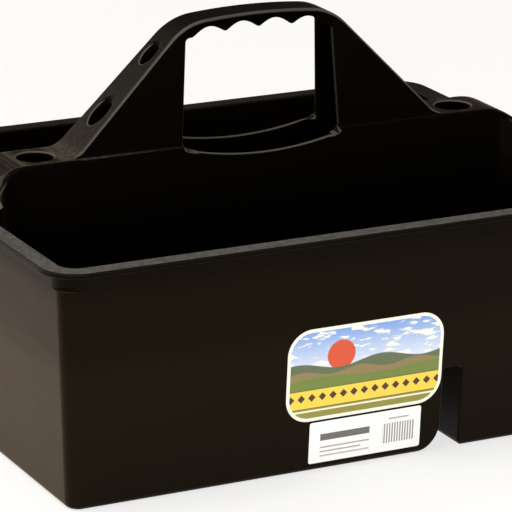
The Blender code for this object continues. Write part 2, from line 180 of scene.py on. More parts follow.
def mouth(radius: float, steps: int = 5, steepest: float = math.radians(60)) -> tuple:
    """How deep each ring of a cutter lies under a surface, and how far it grows, to round the cut's edge.

    Formula: depth is radius (1 - sin a) and growth is radius (1 - cos a), for angles a from steepest to zero.
    The first ring goes on along the arc's tangent until it is past the surface, so that nothing just touches.

    Args:
        radius: Radius of the rounded edge.
        steps: Chords on the arc.
        steepest: Angle at which the arc leaves the surface.

    Returns:
        Depths and growths, from outside the surface inwards.
    """
    angle = np.linspace(steepest, 0, steps + 1)
    depth = radius * (1 - np.sin(angle))
    growth = radius * (1 - np.cos(angle))
    past = growth[0] + (depth[0] + PAST_THE_SKIN) * math.tan(steepest)
    return np.insert(depth, 0, -PAST_THE_SKIN), np.insert(growth, 0, past)


def rounded_rectangles(lengths: Array, widths: Array, radii: Array, steps: int, between: int) -> Array:
    """Rounded rectangles of many sizes, each as one ring of points with the same count.

    Formula: each quarter is its corner's centre plus the radius times (cos a, sin a), and each straight side
    is cut into equal lengths between two quarters.

    Args:
        lengths: Half of each rectangle's length along X.
        widths: Half of each rectangle's width along Y.
        radii: Corner radius of each.
        steps: Chords on each quarter.
        between: Points added on each straight side.

    Returns:
        An array of rings, points and two coordinates.
    """
    signs = np.array([(1, 1), (-1, 1), (-1, -1), (1, -1)])
    turn = np.arange(4)[:, None] * QUARTER + np.linspace(0, QUARTER, steps + 1)
    circle = np.stack([np.cos(turn), np.sin(turn)], axis=-1)
    middle = np.stack([lengths - radii, widths - radii], axis=-1)
    quarters = signs[None, :, None] * middle[:, None, None] + radii[:, None, None, None] * circle[None]
    ends = quarters[:, :, -1:]
    starts = np.roll(quarters[:, :, :1], -1, axis=1)
    share = (np.arange(1, between + 1) / (between + 1))[None, None, :, None]
    sides = ends + share * (starts - ends)
    return np.concatenate([quarters, sides], axis=2).reshape(len(radii), -1, 2)


def new_object(name: str, data: bpy.types.ID) -> Thing:
    """Puts a mesh, lamp or camera into the scene as an object at the origin.

    Args:
        name: The object's name.
        data: What it holds.

    Returns:
        The new object.
    """
    thing = bpy.data.objects.new(name, data)
    bpy.context.scene.collection.objects.link(thing)
    return thing


def tidy(mesh: Mesh) -> None:
    """Merges points that coincide, drops faces without area and turns the faces outwards.

    Args:
        mesh: The mesh to change.
    """
    shape = bmesh.new()
    shape.from_mesh(mesh)
    bmesh.ops.remove_doubles(shape, verts=shape.verts, dist=MERGE_DISTANCE)
    bmesh.ops.dissolve_degenerate(shape, edges=shape.edges, dist=MERGE_DISTANCE)
    bmesh.ops.recalc_face_normals(shape, faces=shape.faces)
    shape.to_mesh(mesh)
    shape.free()


def skin(name: str, rings: Array) -> Thing:
    """A closed body whose surface runs through rings of points and ends in a flat cap on each end.

    Args:
        name: Name of the new object.
        rings: An array of rings, points and three coordinates.

    Returns:
        The new object.
    """
    index = np.arange(rings.shape[0] * rings.shape[1]).reshape(rings.shape[:2])
    here = np.stack([index[:-1], np.roll(index[:-1], -1, axis=1)], axis=-1)
    there = np.stack([np.roll(index[1:], -1, axis=1), index[1:]], axis=-1)
    faces = np.concatenate([here, there], axis=-1).reshape(-1, 4).tolist()
    faces += [index[0, ::-1].tolist(), index[-1].tolist()]
    mesh = bpy.data.meshes.new(name)
    mesh.from_pydata(rings.reshape(-1, 3).tolist(), [], faces)
    tidy(mesh)
    return new_object(name, mesh)


def along_y(name: str, outlines: Array, y: Array) -> Thing:
    """A body whose X-Z outlines are carried along Y.

    Args:
        name: Name of the new object.
        outlines: Rings of X-Z points, or one ring that all share.
        y: Y of every point of every ring.

    Returns:
        The new object.
    """
    outlines = np.broadcast_to(outlines, (*y.shape, 2))
    return skin(name, np.stack([outlines[..., 0], y, outlines[..., 1]], axis=-1))


def apply_modifiers(target: Thing) -> None:
    """Replaces an object's mesh by the one that its modifiers make.

    Args:
        target: The object to change.
    """
    graph = bpy.context.evaluated_depsgraph_get()
    mesh = bpy.data.meshes.new_from_object(target.evaluated_get(graph), depsgraph=graph)
    target.modifiers.clear()
    target.data = mesh


def carve(target: Thing, cuts: list) -> None:
    """Adds bodies to a target and cuts bodies out of it, in order, and removes them afterwards.

    Args:
        target: The object whose mesh is changed.
        cuts: Pairs of a Cut and an object.
    """
    for cut, tool in cuts:
        modifier = target.modifiers.new(tool.name, "BOOLEAN")
        modifier.operation = cut.value
        modifier.solver = "EXACT"
        modifier.object = tool
    apply_modifiers(target)
    tidy(target.data)
    for _, tool in cuts:
        bpy.data.objects.remove(tool)


def shade(target: Thing, sharp: float) -> None:
    """Smooth shading that breaks at sharp edges and follows the larger faces at the rounded ones.

    Args:
        target: The object to shade.
        sharp: Angle in radians above which an edge is sharp.
    """
    target.data.shade_smooth()
    target.data.set_sharp_from_angle(angle=sharp)
    weighted = target.modifiers.new("weighted normals", "WEIGHTED_NORMAL")
    weighted.keep_sharp = True
    weighted.weight = LARGE_FACE_WEIGHT
    apply_modifiers(target)


def read(items: bpy.types.bpy_prop_collection, name: str, kind: type, width: int = 1) -> Array:
    """Values of one property of all items of a mesh.

    Args:
        items: The mesh's vertices, edges, loops or faces.
        name: The property.
        kind: Its number type.
        width: How many numbers each item has.

    Returns:
        One row for each item, or one number where width is 1.
    """
    values = np.empty(len(items) * width, kind)
    items.foreach_get(name, values)
    return values.reshape(-1, width) if width > 1 else values


def mark_bends(mesh: Mesh) -> None:
    """Writes how sharply each face bends, in radians per metre, as the face attribute "bend".

    Formula: the angles across a face's edges, positive where convex, over the distances between the middles
    of the faces on both sides, both summed by the edges' lengths, and doubled. On a rounded edge that comes
    to one over its radius. It fades on faces that don't look up, which hands and tools rub less, and is zero
    at edges too fine to show. The paler edges that it drives are partly wear and partly painted highlight.

    Args:
        mesh: The finished mesh.
    """
    normal = read(mesh.polygons, "normal", np.float32, 3)
    centre = read(mesh.polygons, "center", np.float32, 3)
    face = np.repeat(np.arange(len(normal)), read(mesh.polygons, "loop_total", np.int32))
    edge = read(mesh.loops, "edge_index", np.int32)
    two_faced = np.bincount(edge, minlength=len(mesh.edges))[edge] == 2
    face, edge = face[two_faced], edge[two_faced]
    order = np.argsort(edge, kind="stable")
    sides = face[order].reshape(-1, 2)
    corners = read(mesh.edges, "vertices", np.int32, 2)[edge[order][::2]]
    ends = read(mesh.vertices, "co", np.float32, 3)[corners]
    along = ends[:, 1] - ends[:, 0]
    length = np.linalg.norm(along, axis=1)
    along /= length[:, None]
    out = centre[sides] - ends[:, :1]
    out -= np.sum(out * along[:, None], axis=2, keepdims=True) * along[:, None]
    reach = np.linalg.norm(out, axis=2).sum(axis=1) + MERGE_DISTANCE
    one, other = sides.T
    angle = np.arccos(np.clip(np.sum(normal[one] * normal[other], axis=1), -1, 1))
    convex = np.sign(np.sum((normal[other] - normal[one]) * (centre[other] - centre[one]), axis=1))
    turn, across = (
        sum(np.bincount(side, length * amount, len(normal)) for side in (one, other))
        for amount in (angle * convex, reach)
    )
    sharpness = 2 * turn / np.maximum(across, MERGE_DISTANCE**2)
    exposed = np.clip(SIDE_WEAR_AND_HIGHLIGHT + 2 * (1 - SIDE_WEAR_AND_HIGHLIGHT) * normal[:, 2], 0, 1)
    sharpness = np.where(sharpness < 1 / FINEST_EDGE, exposed * sharpness, 0)
    bend = mesh.attributes.new("bend", "FLOAT", "FACE")
    bend.data.foreach_set("value", sharpness.astype(np.float32))


def seat(piece: Thing, node: str, material: Material) -> None:
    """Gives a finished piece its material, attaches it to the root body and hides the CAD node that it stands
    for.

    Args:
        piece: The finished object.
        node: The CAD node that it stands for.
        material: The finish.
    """
    piece.data.materials.clear()
    piece.data.materials.append(material)
    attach(piece, "root")
    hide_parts(node)
    log.info("%s: %d faces, for node %s", piece.name, len(piece.data.polygons), node)


# Sub-assemblies


@dataclass
class Channel:
    """The slot under the floor, open at the front, the rear and the bottom."""

    offset: float = 68.5 * MM
    width: float = 13.2 * MM
    height: float = 54 * MM
    top_radius: float = 2.5 * MM
    wide_lead_in: float = 18 * MM
    tight_lead_in: float = 5 * MM
    least_lead_in: float = 0.4 * MM
    steps: int = 12

    @property
    def left(self) -> float:
        """X of the channel's left face."""
        return self.offset - self.width / 2

    def outline(self, grow: float, foot: float) -> Array:
        """The channel's X-Z outline, from its left foot over the roof to its right foot.

        Formula: quarter circles for the two lead-ins and the two roof corners. Growth widens the channel and
        leaves the centres of the lead-ins where they are.

        Args:
            grow: How far the outline lies outside the channel's own.
            foot: Height of the outline's two lower ends.

        Returns:
            X-Z points.
        """
        left, right = self.left - grow, self.left + self.width + grow
        top = self.height + grow
        wide = max(self.wide_lead_in - grow, self.least_lead_in)
        tight = max(self.tight_lead_in - grow, self.least_lead_in)
        corner = self.top_radius + grow
        return np.vstack(
            [
                [(left - wide, foot)],
                arc((left - wide, grow + wide), wide, -QUARTER, 0, self.steps),
                arc((left + corner, top - corner), corner, math.pi, QUARTER, self.steps),
                arc((right - corner, top - corner), corner, QUARTER, 0, self.steps),
                arc((right + tight, grow + tight), tight, math.pi, 3 * QUARTER, self.steps),
                [(right + tight, foot)],
            ]
        )


@dataclass
class Tub:
    """The moulded tub: drafted walls, a neck with rounder corners under a wide rim, and a ridged floor."""

    half_length: float
    half_width: float
    rim_height: float
    rim_thickness: float = 3.6 * MM
    rim_overhang: float = 7.5 * MM
    rim_top_width: float = 13 * MM
    rim_corner_radius: float = 24 * MM
    rim_edge_radius: float = 1.6 * MM
    neck_height: float = 9.5 * MM
    neck_set_back: float = 0.06 * MM
    neck_ledge_radius: float = 0.06 * MM
    body_corner_radius: float = 9 * MM
    wall: float = 4 * MM
    floor: float = 4 * MM
    wall_draft: float = math.radians(3.5)
    base_edge_radius: float = 4 * MM
    floor_fillet: float = 4 * MM
    least_corner_radius: float = 1 * MM
    mouth_radius: float = 1.3 * MM
    channel: Channel = field(default_factory=Channel)
    arc_steps: int = 9
    corner_steps: int = 16
    side_points: int = 12

    @property
    def rim_underside(self) -> float:
        """Height of the rim flange's lower face."""
        return self.rim_height - self.rim_thickness

    @property
    def neck_bottom(self) -> float:
        """Height of the ledge on which the neck stands."""
        return self.rim_underside - self.neck_height

    def wall_inset(self, z: float) -> float:
        """Distance from the rim's outer edge in to the drafted outer wall at height z."""
        return self.rim_overhang + (self.rim_underside - z) * math.tan(self.wall_draft)

    def inner_inset(self, z: float) -> float:
        """Distance from the rim's outer edge in to the inner face, which runs straight down to the floor.

        Args:
            z: Height.

        Returns:
            The distance.
        """
        floor_inset = self.wall_inset(self.floor) + self.wall
        share = (self.rim_height - z) / (self.rim_height - self.floor)
        return self.rim_top_width + share * (floor_inset - self.rim_top_width)

    def inner_end(self, z: float) -> float:
        """Distance from the middle to the end walls' inner face at height z."""
        return self.half_length - self.inner_inset(z)

    def outside(self) -> Array:
        """Inset, height and corner radius along the outside, from the base's edge up to the neck's top.

        Formula: a quarter circle at the base, the straight wall, a small quarter at the ledge, and the neck.

        Returns:
            Rows of inset, height and corner radius.
        """
        edge, ledge = self.base_edge_radius, self.neck_ledge_radius
        base = self.wall_inset(edge)
        foot = arc((base + edge, edge), edge, -QUARTER, -math.pi, self.arc_steps)
        foot_radius = np.maximum(self.body_corner_radius - (foot[:, 0] - base), self.least_corner_radius)
        top = self.wall_inset(self.neck_bottom)
        turn = arc((top + ledge, self.neck_bottom - ledge), ledge, math.pi, QUARTER, self.arc_steps // 2)
        turn_radius = self.body_corner_radius - (turn[:, 0] - top)
        neck_radius = self.rim_corner_radius - self.rim_overhang
        neck = [
            (top + self.neck_set_back, self.neck_bottom, neck_radius),
            (self.rim_overhang + self.neck_set_back, self.rim_underside, neck_radius),
        ]
        return np.vstack([np.column_stack([foot, foot_radius]), np.column_stack([turn, turn_radius]), neck])

    def over_the_rim(self) -> Array:
        """Inset, height and corner radius around the rim flange and down the inside to the floor.

        Formula: quarter circles at the flange's lower and upper edge, at the inner lip and along the floor.

        Returns:
            Rows of inset, height and corner radius.
        """
        edge, fillet, steps = self.rim_edge_radius, self.floor_fillet, self.arc_steps
        crest = self.rim_height - edge
        lip = self.inner_inset(crest)
        lower = arc((edge, self.rim_underside + edge), edge, -QUARTER, -math.pi, steps)
        upper = arc((edge, crest), edge, math.pi, QUARTER, steps)
        inner = arc((lip - edge, crest), edge, QUARTER, 0, steps)
        flange = np.vstack([lower, upper, inner])
        flange_radius = np.maximum(self.rim_corner_radius - flange[:, 0], self.least_corner_radius)
        foot = self.inner_inset(self.floor + fillet)
        bottom = arc((foot + fillet, self.floor + fillet), fillet, math.pi, 3 * QUARTER, steps)
        inner_radius = max(self.body_corner_radius - self.wall, self.least_corner_radius)
        bottom_radius = inner_radius + foot + fillet - bottom[:, 0]
        return np.vstack([np.column_stack([flange, flange_radius]), np.column_stack([bottom, bottom_radius])])

    def shell(self) -> Thing:
        """The tub's whole skin as one surface: its profile carried around rounded rectangles.

        Returns:
            The new object, still without its ridge and channel.
        """
        inset, height, radius = np.vstack([self.outside(), self.over_the_rim()]).T
        half_lengths, half_widths = self.half_length - inset, self.half_width - inset
        rings = rounded_rectangles(half_lengths, half_widths, radius, self.corner_steps, self.side_points)
        level = np.broadcast_to(height[:, None, None], (*rings.shape[:2], 1))
        return skin("moulded_tub", np.concatenate([rings, level], axis=-1))

    def ridge(self) -> Thing:
        """The hump that covers the channel inside the tub, reaching into the middle of both walls.

        Returns:
            The new object.
        """
        outline = self.channel.outline(self.wall, self.floor / 2)
        z = outline[:, 1]
        y = self.half_width - (self.wall_inset(z) + self.inner_inset(z)) / 2
        return along_y("channel_ridge", outline, np.stack([-y, y]))

    def channel_cutter(self) -> Thing:
        """The channel's hollow, which widens at both walls so that its edges come out rounded.

        Formula: the outline grows along its normals by the mouth's growth, less near the base, and each ring
        follows the outer wall at the mouth's depth.

        Returns:
            The cutter.
        """
        outline = self.channel.outline(0, -REACH)
        depth, growth = mouth(self.mouth_radius)
        strength = np.clip(outline[:, 1] / self.base_edge_radius, 0, 1)[None, :, None]
        rings = outline[None] + growth[:, None, None] * strength * outward(outline)[None]
        inset, height = self.outside().T[:2]
        y = self.half_width - np.interp(rings[..., 1], height, inset) - depth[:, None]
        rings = np.concatenate([rings[:1], rings])
        y = np.concatenate([np.full((1, len(outline)), self.half_width + REACH), y])
        return along_y("channel_cutter", np.concatenate([rings, rings[::-1]]), np.concatenate([-y, y[::-1]]))

    def build(self, material: Material) -> None:
        """Makes the tub and dresses it.

        Args:
            material: The polyethylene.
        """
        tub = self.shell()
        carve(tub, [(Cut.ADD, self.ridge()), (Cut.REMOVE, self.channel_cutter())])
        shade(tub, SHARP_ANGLE)
        mark_bends(tub.data)
        seat(tub, "tub", material)


@dataclass
class DividerHandle:
    """The hollow divider that rises into the carrying handle, with its tool holes and hand opening."""

    tub: Tub
    gap: float = 0.3 * MM
    seat_gap: float = 0.1 * MM
    platform_above_rim: float = 25 * MM
    divider_width: float = 42 * MM
    divider_draft: float = math.radians(3.5)
    wall: float = 3 * MM
    ledge_radius: float = 5 * MM
    least_inner_ledge: float = 1.2 * MM
    end_fillet_radius: float = 22 * MM
    shoulder_length: float = 33 * MM
    shoulder_radius: float = 34 * MM
    shoulder_end_thickness: float = 4 * MM
    shoulder_end_radius: float = 2.6 * MM
    shoulder_crown_spread: float = 1.1
    shoulder_edge_drop: float = 0.9 * MM
    platform_length: float = 43 * MM
    handle_rise: float = 79 * MM
    handle_base_width: float = 33 * MM
    handle_draft: float = math.radians(3.7)
    grip_length: float = 102 * MM
    grip_crown_radius: float = 400 * MM
    grip_end_angle: float = math.radians(5)
    knee_radius: float = 38 * MM
    slope_foot_radius: float = 20 * MM
    slope_tail_length: float = 12 * MM
    slope_tail_drop: float = 1.2 * MM
    slope_step: float = 0.25 * MM
    spine_edge_radius: float = 2.2 * MM
    least_inner_edge: float = 0.8 * MM
    web_foot_radius: float = 2.5 * MM
    inner_web_foot_radius: float = 1 * MM
    opening_top_length: float = 101 * MM
    opening_sill_length: float = 109 * MM
    opening_top_corner: float = 3 * MM
    opening_sill_corner: float = 4 * MM
    opening_edge_radius: float = 1.4 * MM
    sill_below_platform: float = 1.5 * MM
    sill_dip: float = 7 * MM
    sill_points: int = 40
    # Room for a sill corner at the sill's end, in corner radii
    sill_end_room: float = 1.5
    grip_depth: float = 9.5 * MM
    grip_underside_radius: float = 400 * MM
    finger_count: int = 4
    finger_pitch: float = 23 * MM
    finger_rise: float = 4.6 * MM
    finger_softness: float = 0.15
    finger_steps: int = 20
    platform_hole: float = 23.5 * MM
    platform_hole_from_end: float = 56 * MM
    lower_slope_hole: float = 15 * MM
    lower_slope_hole_from_foot: float = 24 * MM
    upper_slope_hole: float = 12.5 * MM
    upper_slope_hole_from_foot: float = 57.5 * MM
    hole_edge_radius: float = 1.3 * MM
    hole_mouth_angle: float = math.radians(75)
    # How far a hole's cutter reaches above and below the skin, in diameters
    hole_reach_up: float = 2
    hole_reach_down: float = 3
    station_spacing: float = 1.6 * MM
    least_spacing: float = 0.05 * MM
    arc_steps: int = 9
    hole_steps: int = 64

    @property
    def platform(self) -> float:
        """Height of the two flat platforms."""
        return self.tub.rim_height + self.platform_above_rim

    @property
    def slope_foot(self) -> float:
        """X where the handle's slope meets the platform."""
        return self.tub.half_length - self.shoulder_length - self.platform_length

    @property
    def end_plate(self) -> float:
        """X of the inner face of the plate that closes the divider's end."""
        return self.tub.inner_end(self.tub.rim_height) - self.gap - self.wall

    @property
    def bottom(self) -> float:
        """Height of the insert's foot, just clear of the tub's floor."""
        return self.tub.floor + self.gap

    def crown(self, x: Array) -> Array:
        """Height of the handle's spine.

        Formula: straight slopes, an arched grip, and arcs at the knees and the feet.

        Args:
            x: Places along the handle.

        Returns:
            The heights, or zero past the two feet of the handle.
        """
        half = self.grip_length / 2
        top = self.platform + self.handle_rise
        apex = top + self.grip_crown_radius * (1 / math.cos(self.grip_end_angle) - 1)
        right = [
            (half, apex - half * math.tan(self.grip_end_angle)),
            (self.slope_foot, self.platform),
            (self.slope_foot + self.slope_tail_length, self.platform - self.slope_tail_drop),
        ]
        left = [(-place, height) for place, height in right[::-1]]
        foot, knee = self.slope_foot_radius, self.knee_radius
        radii = [foot, knee, self.grip_crown_radius, knee, foot]
        path = rounded_path([*left, (0, apex), *right], radii, 4 * self.arc_steps)
        return np.interp(x, path[:, 0], path[:, 1], left=0, right=0)

    def ceiling(self, x: Array) -> Array:
        """Height of the hollow's ceiling: one wall inside the spine, square to its slope."""
        slope = (self.crown(x + self.slope_step) - self.crown(x - self.slope_step)) / (2 * self.slope_step)
        return self.crown(x) - self.wall * np.sqrt(1 + slope**2)

    def top(self, x: Array) -> Array:
        """Height of the divider's own crown.

        Formula: the platform's level, an arc into the shoulder's slope, and a quarter circle over its end.

        Args:
            x: Places along the insert.

        Returns:
            The heights.
        """
        end = self.tub.half_length
        corners = [
            (0, self.platform),
            (end - self.shoulder_length, self.platform),
            (end, self.tub.rim_height + self.shoulder_end_thickness),
        ]
        path = rounded_path(corners, [self.shoulder_radius], 4 * self.arc_steps)
        past = np.clip(abs(x) - (end - self.shoulder_end_radius), 0, self.shoulder_end_radius)
        drop = self.shoulder_end_radius - np.sqrt(self.shoulder_end_radius**2 - past**2)
        return np.interp(abs(x), path[:, 0], path[:, 1]) - drop

    def flare(self, x: Array) -> Array:
        """Extra half width where the sides sweep out to the end plates through a quarter circle."""
        run = np.clip(abs(x) - (self.end_plate - self.end_fillet_radius), 0, self.end_fillet_radius)
        return self.end_fillet_radius - np.sqrt(self.end_fillet_radius**2 - run**2)

    def stations(self, reach: float) -> Array:
        """X of the sections: evenly spaced, and closer where the end fillets and the outer ends turn fast.

        Formula: the added sections lie at even angles along those arcs, and an even one that lies within a
        third of the spacing of an added one is left out.

        Args:
            reach: Half the length that the sections span.

        Returns:
            X of each section, from left to right.
        """
        even = np.linspace(0, reach, int(reach / self.station_spacing) + 1)
        bow = 1 - np.sin(np.linspace(0, QUARTER, 2 * self.arc_steps + 1))
        fillet = self.end_plate - self.end_fillet_radius * bow
        end = self.tub.half_length - self.shoulder_end_radius * bow
        turning = np.concatenate([fillet[fillet < reach], end[end < reach]])
        clear = np.min(abs(even[:, None] - turning), axis=1) > self.station_spacing / 3
        right = np.sort(np.concatenate([even[clear], turning, even[-1:]]))
        right = right[np.insert(np.diff(right) > self.least_spacing, 0, True)]
        right[-1] = reach
        return np.concatenate([-right[:0:-1], right])

    def half_profile(self, x: Array, inset: float, bottom: float) -> Array:
        """Y and Z along the right half of each section, from the bottom up to the crown.

        Formula: a drafted side, a quarter ellipse over the ledge, an arc that touches both the ledge and the
        handle's web, the drafted web, and a quarter circle onto the spine. Where the handle rises less than
        its two roundings need, they shrink with it and vanish at the slope's end.

        Args:
            x: Stations along the insert.
            inset: How far inside the outer skin the surface lies.
            bottom: Height of the lowest point.

        Returns:
            An array of stations, points and two coordinates.
        """
        slope, lean = math.tan(self.divider_draft), math.tan(self.handle_draft)
        level = math.cos(self.handle_draft)
        flare = self.flare(x)
        top = self.top(x) - inset
        across = self.ledge_radius + self.shoulder_crown_spread * flare - inset
        across = np.maximum(across, self.least_inner_ledge)
        down = max(self.ledge_radius - inset, self.least_inner_ledge)
        down = down + self.shoulder_edge_drop * flare / self.end_fillet_radius
        side = self.divider_width / 2 + flare - inset / math.cos(self.divider_draft)
        low_z = top - down
        low_y = side + (self.platform - low_z) * slope - across

        spine = self.ceiling(x) if inset else self.crown(x)
        full_round = max(self.spine_edge_radius - inset, self.least_inner_edge)
        full_foot = self.inner_web_foot_radius if inset else self.web_foot_radius
        share = np.clip((spine - top) / (full_round + full_foot), 0, 1)
        rounding, foot = full_round * share, full_foot * share
        web = self.handle_base_width / 2 - inset / level

        offset = web - (low_z - self.platform) * lean + foot / level - low_y
        square = (offset * lean) ** 2 - (1 + lean**2) * (offset**2 - (across + foot) ** 2)
        touch = (offset * lean + np.sqrt(np.maximum(square, 0))) / (1 + lean**2)
        on_ledge = web + foot > low_y
        past_handle = np.arccos(np.clip((web - low_y) / across, 0, 1))
        start = np.where(share > 0, np.arctan2(touch, offset - touch * lean), past_handle)
        start = np.where(on_ledge, start, QUARTER)
        foot_z = np.where(share > 0, low_z + touch, low_z + down * np.sin(start))
        foot_z = np.where(on_ledge, foot_z, top + foot)
        foot_y = web - (foot_z - self.platform) * lean + foot / level
        foot_y = np.where((share > 0) | ~on_ledge, foot_y, web)

        turn = np.linspace(0, 1, self.arc_steps + 1)
        start = start[:, None]
        edge_z = np.maximum(spine, top) - rounding
        edge_y = web - (edge_z - self.platform) * lean - rounding
        arcs = [
            (low_y, low_z, across, down, start * turn),
            (foot_y, foot_z, foot, foot, start + math.pi + (self.handle_draft - start) * turn),
            (edge_y, edge_z, rounding, rounding, QUARTER * turn[None]),
        ]
        low_end = np.stack([side + (self.platform - bottom) * slope, np.full(len(x), bottom)], axis=-1)
        points = [low_end[:, None]]
        for y, z, wide, high, angle in arcs:
            y, z, wide, high = y[:, None], z[:, None], wide[:, None], high[:, None]
            points.append(np.stack([y + wide * np.cos(angle), z + high * np.sin(angle)], axis=-1))
        return np.concatenate(points, axis=1)

    def sections(self, x: Array, inset: float, bottom: float) -> Array:
        """Rings across the insert, which lean inwards below the rim as the tub's end walls do.

        Formula: the half profile and its mirror image, with X scaled by a share that falls with the depth.

        Args:
            x: Stations along the insert.
            inset: How far inside the outer skin the surface lies.
            bottom: Height of the lowest point.

        Returns:
            An array of rings, points and three coordinates.
        """
        half = self.half_profile(x, inset, bottom)
        ring = np.concatenate([half * (-1, 1), half[:, ::-1]], axis=1)
        tub = self.tub
        end = tub.inner_end(tub.rim_height)
        draft = (end - tub.inner_end(tub.floor)) / (tub.rim_height - tub.floor)
        depth = np.maximum(tub.rim_height + self.shoulder_end_thickness - ring[..., 1], 0)
        leaned = x[:, None] * (1 - depth * draft / end)
        return np.concatenate([leaned[..., None], ring], axis=-1)

    def end_blocks(self, inset: float, lift: float) -> list:
        """The tub's two ends as bodies to cut by: end wall, floor fillet and rim.

        Args:
            inset: How far the faces lie inside the insert's own end faces.
            lift: How far the seat lies above the rim.

        Returns:
            Two cutters.
        """
        tub = self.tub
        seat_height = tub.rim_height + lift
        fillet_top = self.bottom + tub.floor_fillet
        foot = tub.inner_end(fillet_top)
        corners = np.array(
            [
                (foot - tub.floor_fillet - REACH, -REACH),
                (foot - tub.floor_fillet, self.bottom),
                (foot, fillet_top),
                (tub.inner_end(seat_height), seat_height),
                (tub.half_length + REACH, seat_height),
                (tub.half_length + REACH, -REACH),
            ]
        )
        corners[:4, 0] -= self.gap + inset
        y = np.outer([-1, 1], np.full(len(corners), tub.half_width))
        return [along_y("end_block", corners * (side, 1), y) for side in (1, -1)]

    def sill(self, x: Array) -> Array:
        """Height of the hand opening's sill, a shallow arc.

        Args:
            x: Places along the sill.

        Returns:
            The heights.
        """
        radius = ((self.opening_sill_length / 2) ** 2 + self.sill_dip**2) / (2 * self.sill_dip)
        centre = self.platform - self.sill_below_platform + radius - self.sill_dip
        return centre - np.sqrt(radius**2 - x**2)

    def underside(self, x: Array) -> Array:
        """Height of the grip's underside.

        Formula: an arch raised by finger scallops, which are the root of a squared sine plus a small
        constant, so that they meet in soft points.

        Args:
            x: Places along the grip.

        Returns:
            The heights.
        """
        half, soft = self.finger_count * self.finger_pitch / 2, self.finger_softness
        drop = self.grip_underside_radius - np.sqrt(self.grip_underside_radius**2 - x**2)
        wave = np.sqrt(np.sin(math.pi * (x + half) / self.finger_pitch) ** 2 + soft**2) - soft
        rise = np.where(abs(x) < half, wave / (math.sqrt(1 + soft**2) - soft), 0)
        return self.platform + self.handle_rise - self.grip_depth - drop + self.finger_rise * rise

    def opening_outline(self) -> Array:
        """X-Z outline of the hand opening: its sill, leaning sides with rounded corners, and the underside.

        Returns:
            X-Z points, anticlockwise.
        """
        half_sill, half_top = self.opening_sill_length / 2, self.opening_top_length / 2
        half_fingers = self.finger_count * self.finger_pitch / 2
        straight_sill = half_sill - self.sill_end_room * self.opening_sill_corner
        side = rounded_path(
            [
                (straight_sill, float(self.sill(straight_sill))),
                (half_sill, float(self.sill(half_sill))),
                (half_top, float(self.underside(half_top))),
                (half_fingers, float(self.underside(half_fingers))),
            ],
            [self.opening_sill_corner, self.opening_top_corner],
            self.arc_steps,
        )
        sill_x = np.linspace(-straight_sill, straight_sill, self.sill_points)[1:-1]
        top_x = np.linspace(half_fingers, -half_fingers, self.finger_steps * self.finger_count + 1)[1:-1]
        sill = np.column_stack([sill_x, self.sill(sill_x)])
        top = np.column_stack([top_x, self.underside(top_x)])
        return np.vstack([sill, side, top, side[::-1] * (-1, 1)])

    def opening_cutter(self) -> Thing:
        """The hand opening through both webs, with every edge rounded, inside and outside.

        Formula: the outline grows along its normals by the mouth's growth. Each ring follows the outer or the
        inner face of the web and of the divider, read from the half profiles, at the mouth's depth.

        Returns:
            The cutter.
        """
        outline = self.opening_outline()
        depth, growth = mouth(self.opening_edge_radius)
        growths = np.concatenate([growth[:1], growth, growth[::-1]])
        rings = outline[None] + growths[:, None, None] * outward(outline)[None]
        outer, inner = (self.half_profile(np.zeros(1), inset, self.bottom)[0] for inset in (0, self.wall))
        count = len(depth)
        outer_y = np.interp(rings[1 : count + 1, :, 1], outer[:, 1], outer[:, 0]) - depth[:, None]
        inner_y = np.interp(rings[count + 1 :, :, 1], inner[:, 1], inner[:, 0]) + depth[::-1, None]
        y = np.concatenate([np.full((1, len(outline)), self.divider_width), outer_y, inner_y])
        return along_y("opening_cutter", np.concatenate([rings, rings[::-1]]), np.concatenate([-y, y[::-1]]))

    def hole_cutter(self, x: float, diameter: float) -> Thing:
        """A round upright cutter that widens at the spine, so that the hole's edge comes out rounded.

        Formula: rings around the hole's axis, each as far under the spine's surface as the mouth's depth,
        with the radius plus the mouth's growth.

        Args:
            x: Place of the hole's axis.
            diameter: The hole's diameter.

        Returns:
            The cutter.
        """
        depth, growth = mouth(self.hole_edge_radius, steepest=self.hole_mouth_angle)
        turn = np.linspace(0, 2 * math.pi, self.hole_steps, endpoint=False)
        radius = diameter / 2 + growth
        along = x + radius[:, None] * np.cos(turn)
        across = radius[:, None] * np.sin(turn)
        up = np.maximum(self.crown(along), self.top(along)) - depth[:, None]
        level = float(max(self.crown(np.array(x)), self.top(np.array(x))))
        above = np.full_like(up[:1], level + self.hole_reach_up * diameter)
        below = np.full_like(up[:1], level - self.hole_reach_down * diameter - 2 * self.wall)
        along, across = (np.concatenate([rows[:1], rows, rows[-1:]]) for rows in (along, across))
        return skin("tool_hole", np.stack([along, across, np.concatenate([above, up, below])], axis=-1))

    def tool_holes(self) -> list:
        """Makes the cutters for the round holes, from one platform to the other.

        Returns:
            Six cutters.
        """
        places = [
            (self.slope_foot - self.upper_slope_hole_from_foot, self.upper_slope_hole),
            (self.slope_foot - self.lower_slope_hole_from_foot, self.lower_slope_hole),
            (self.tub.half_length - self.platform_hole_from_end, self.platform_hole),
        ]
        return [self.hole_cutter(side * x, diameter) for side in (-1, 1) for x, diameter in places]

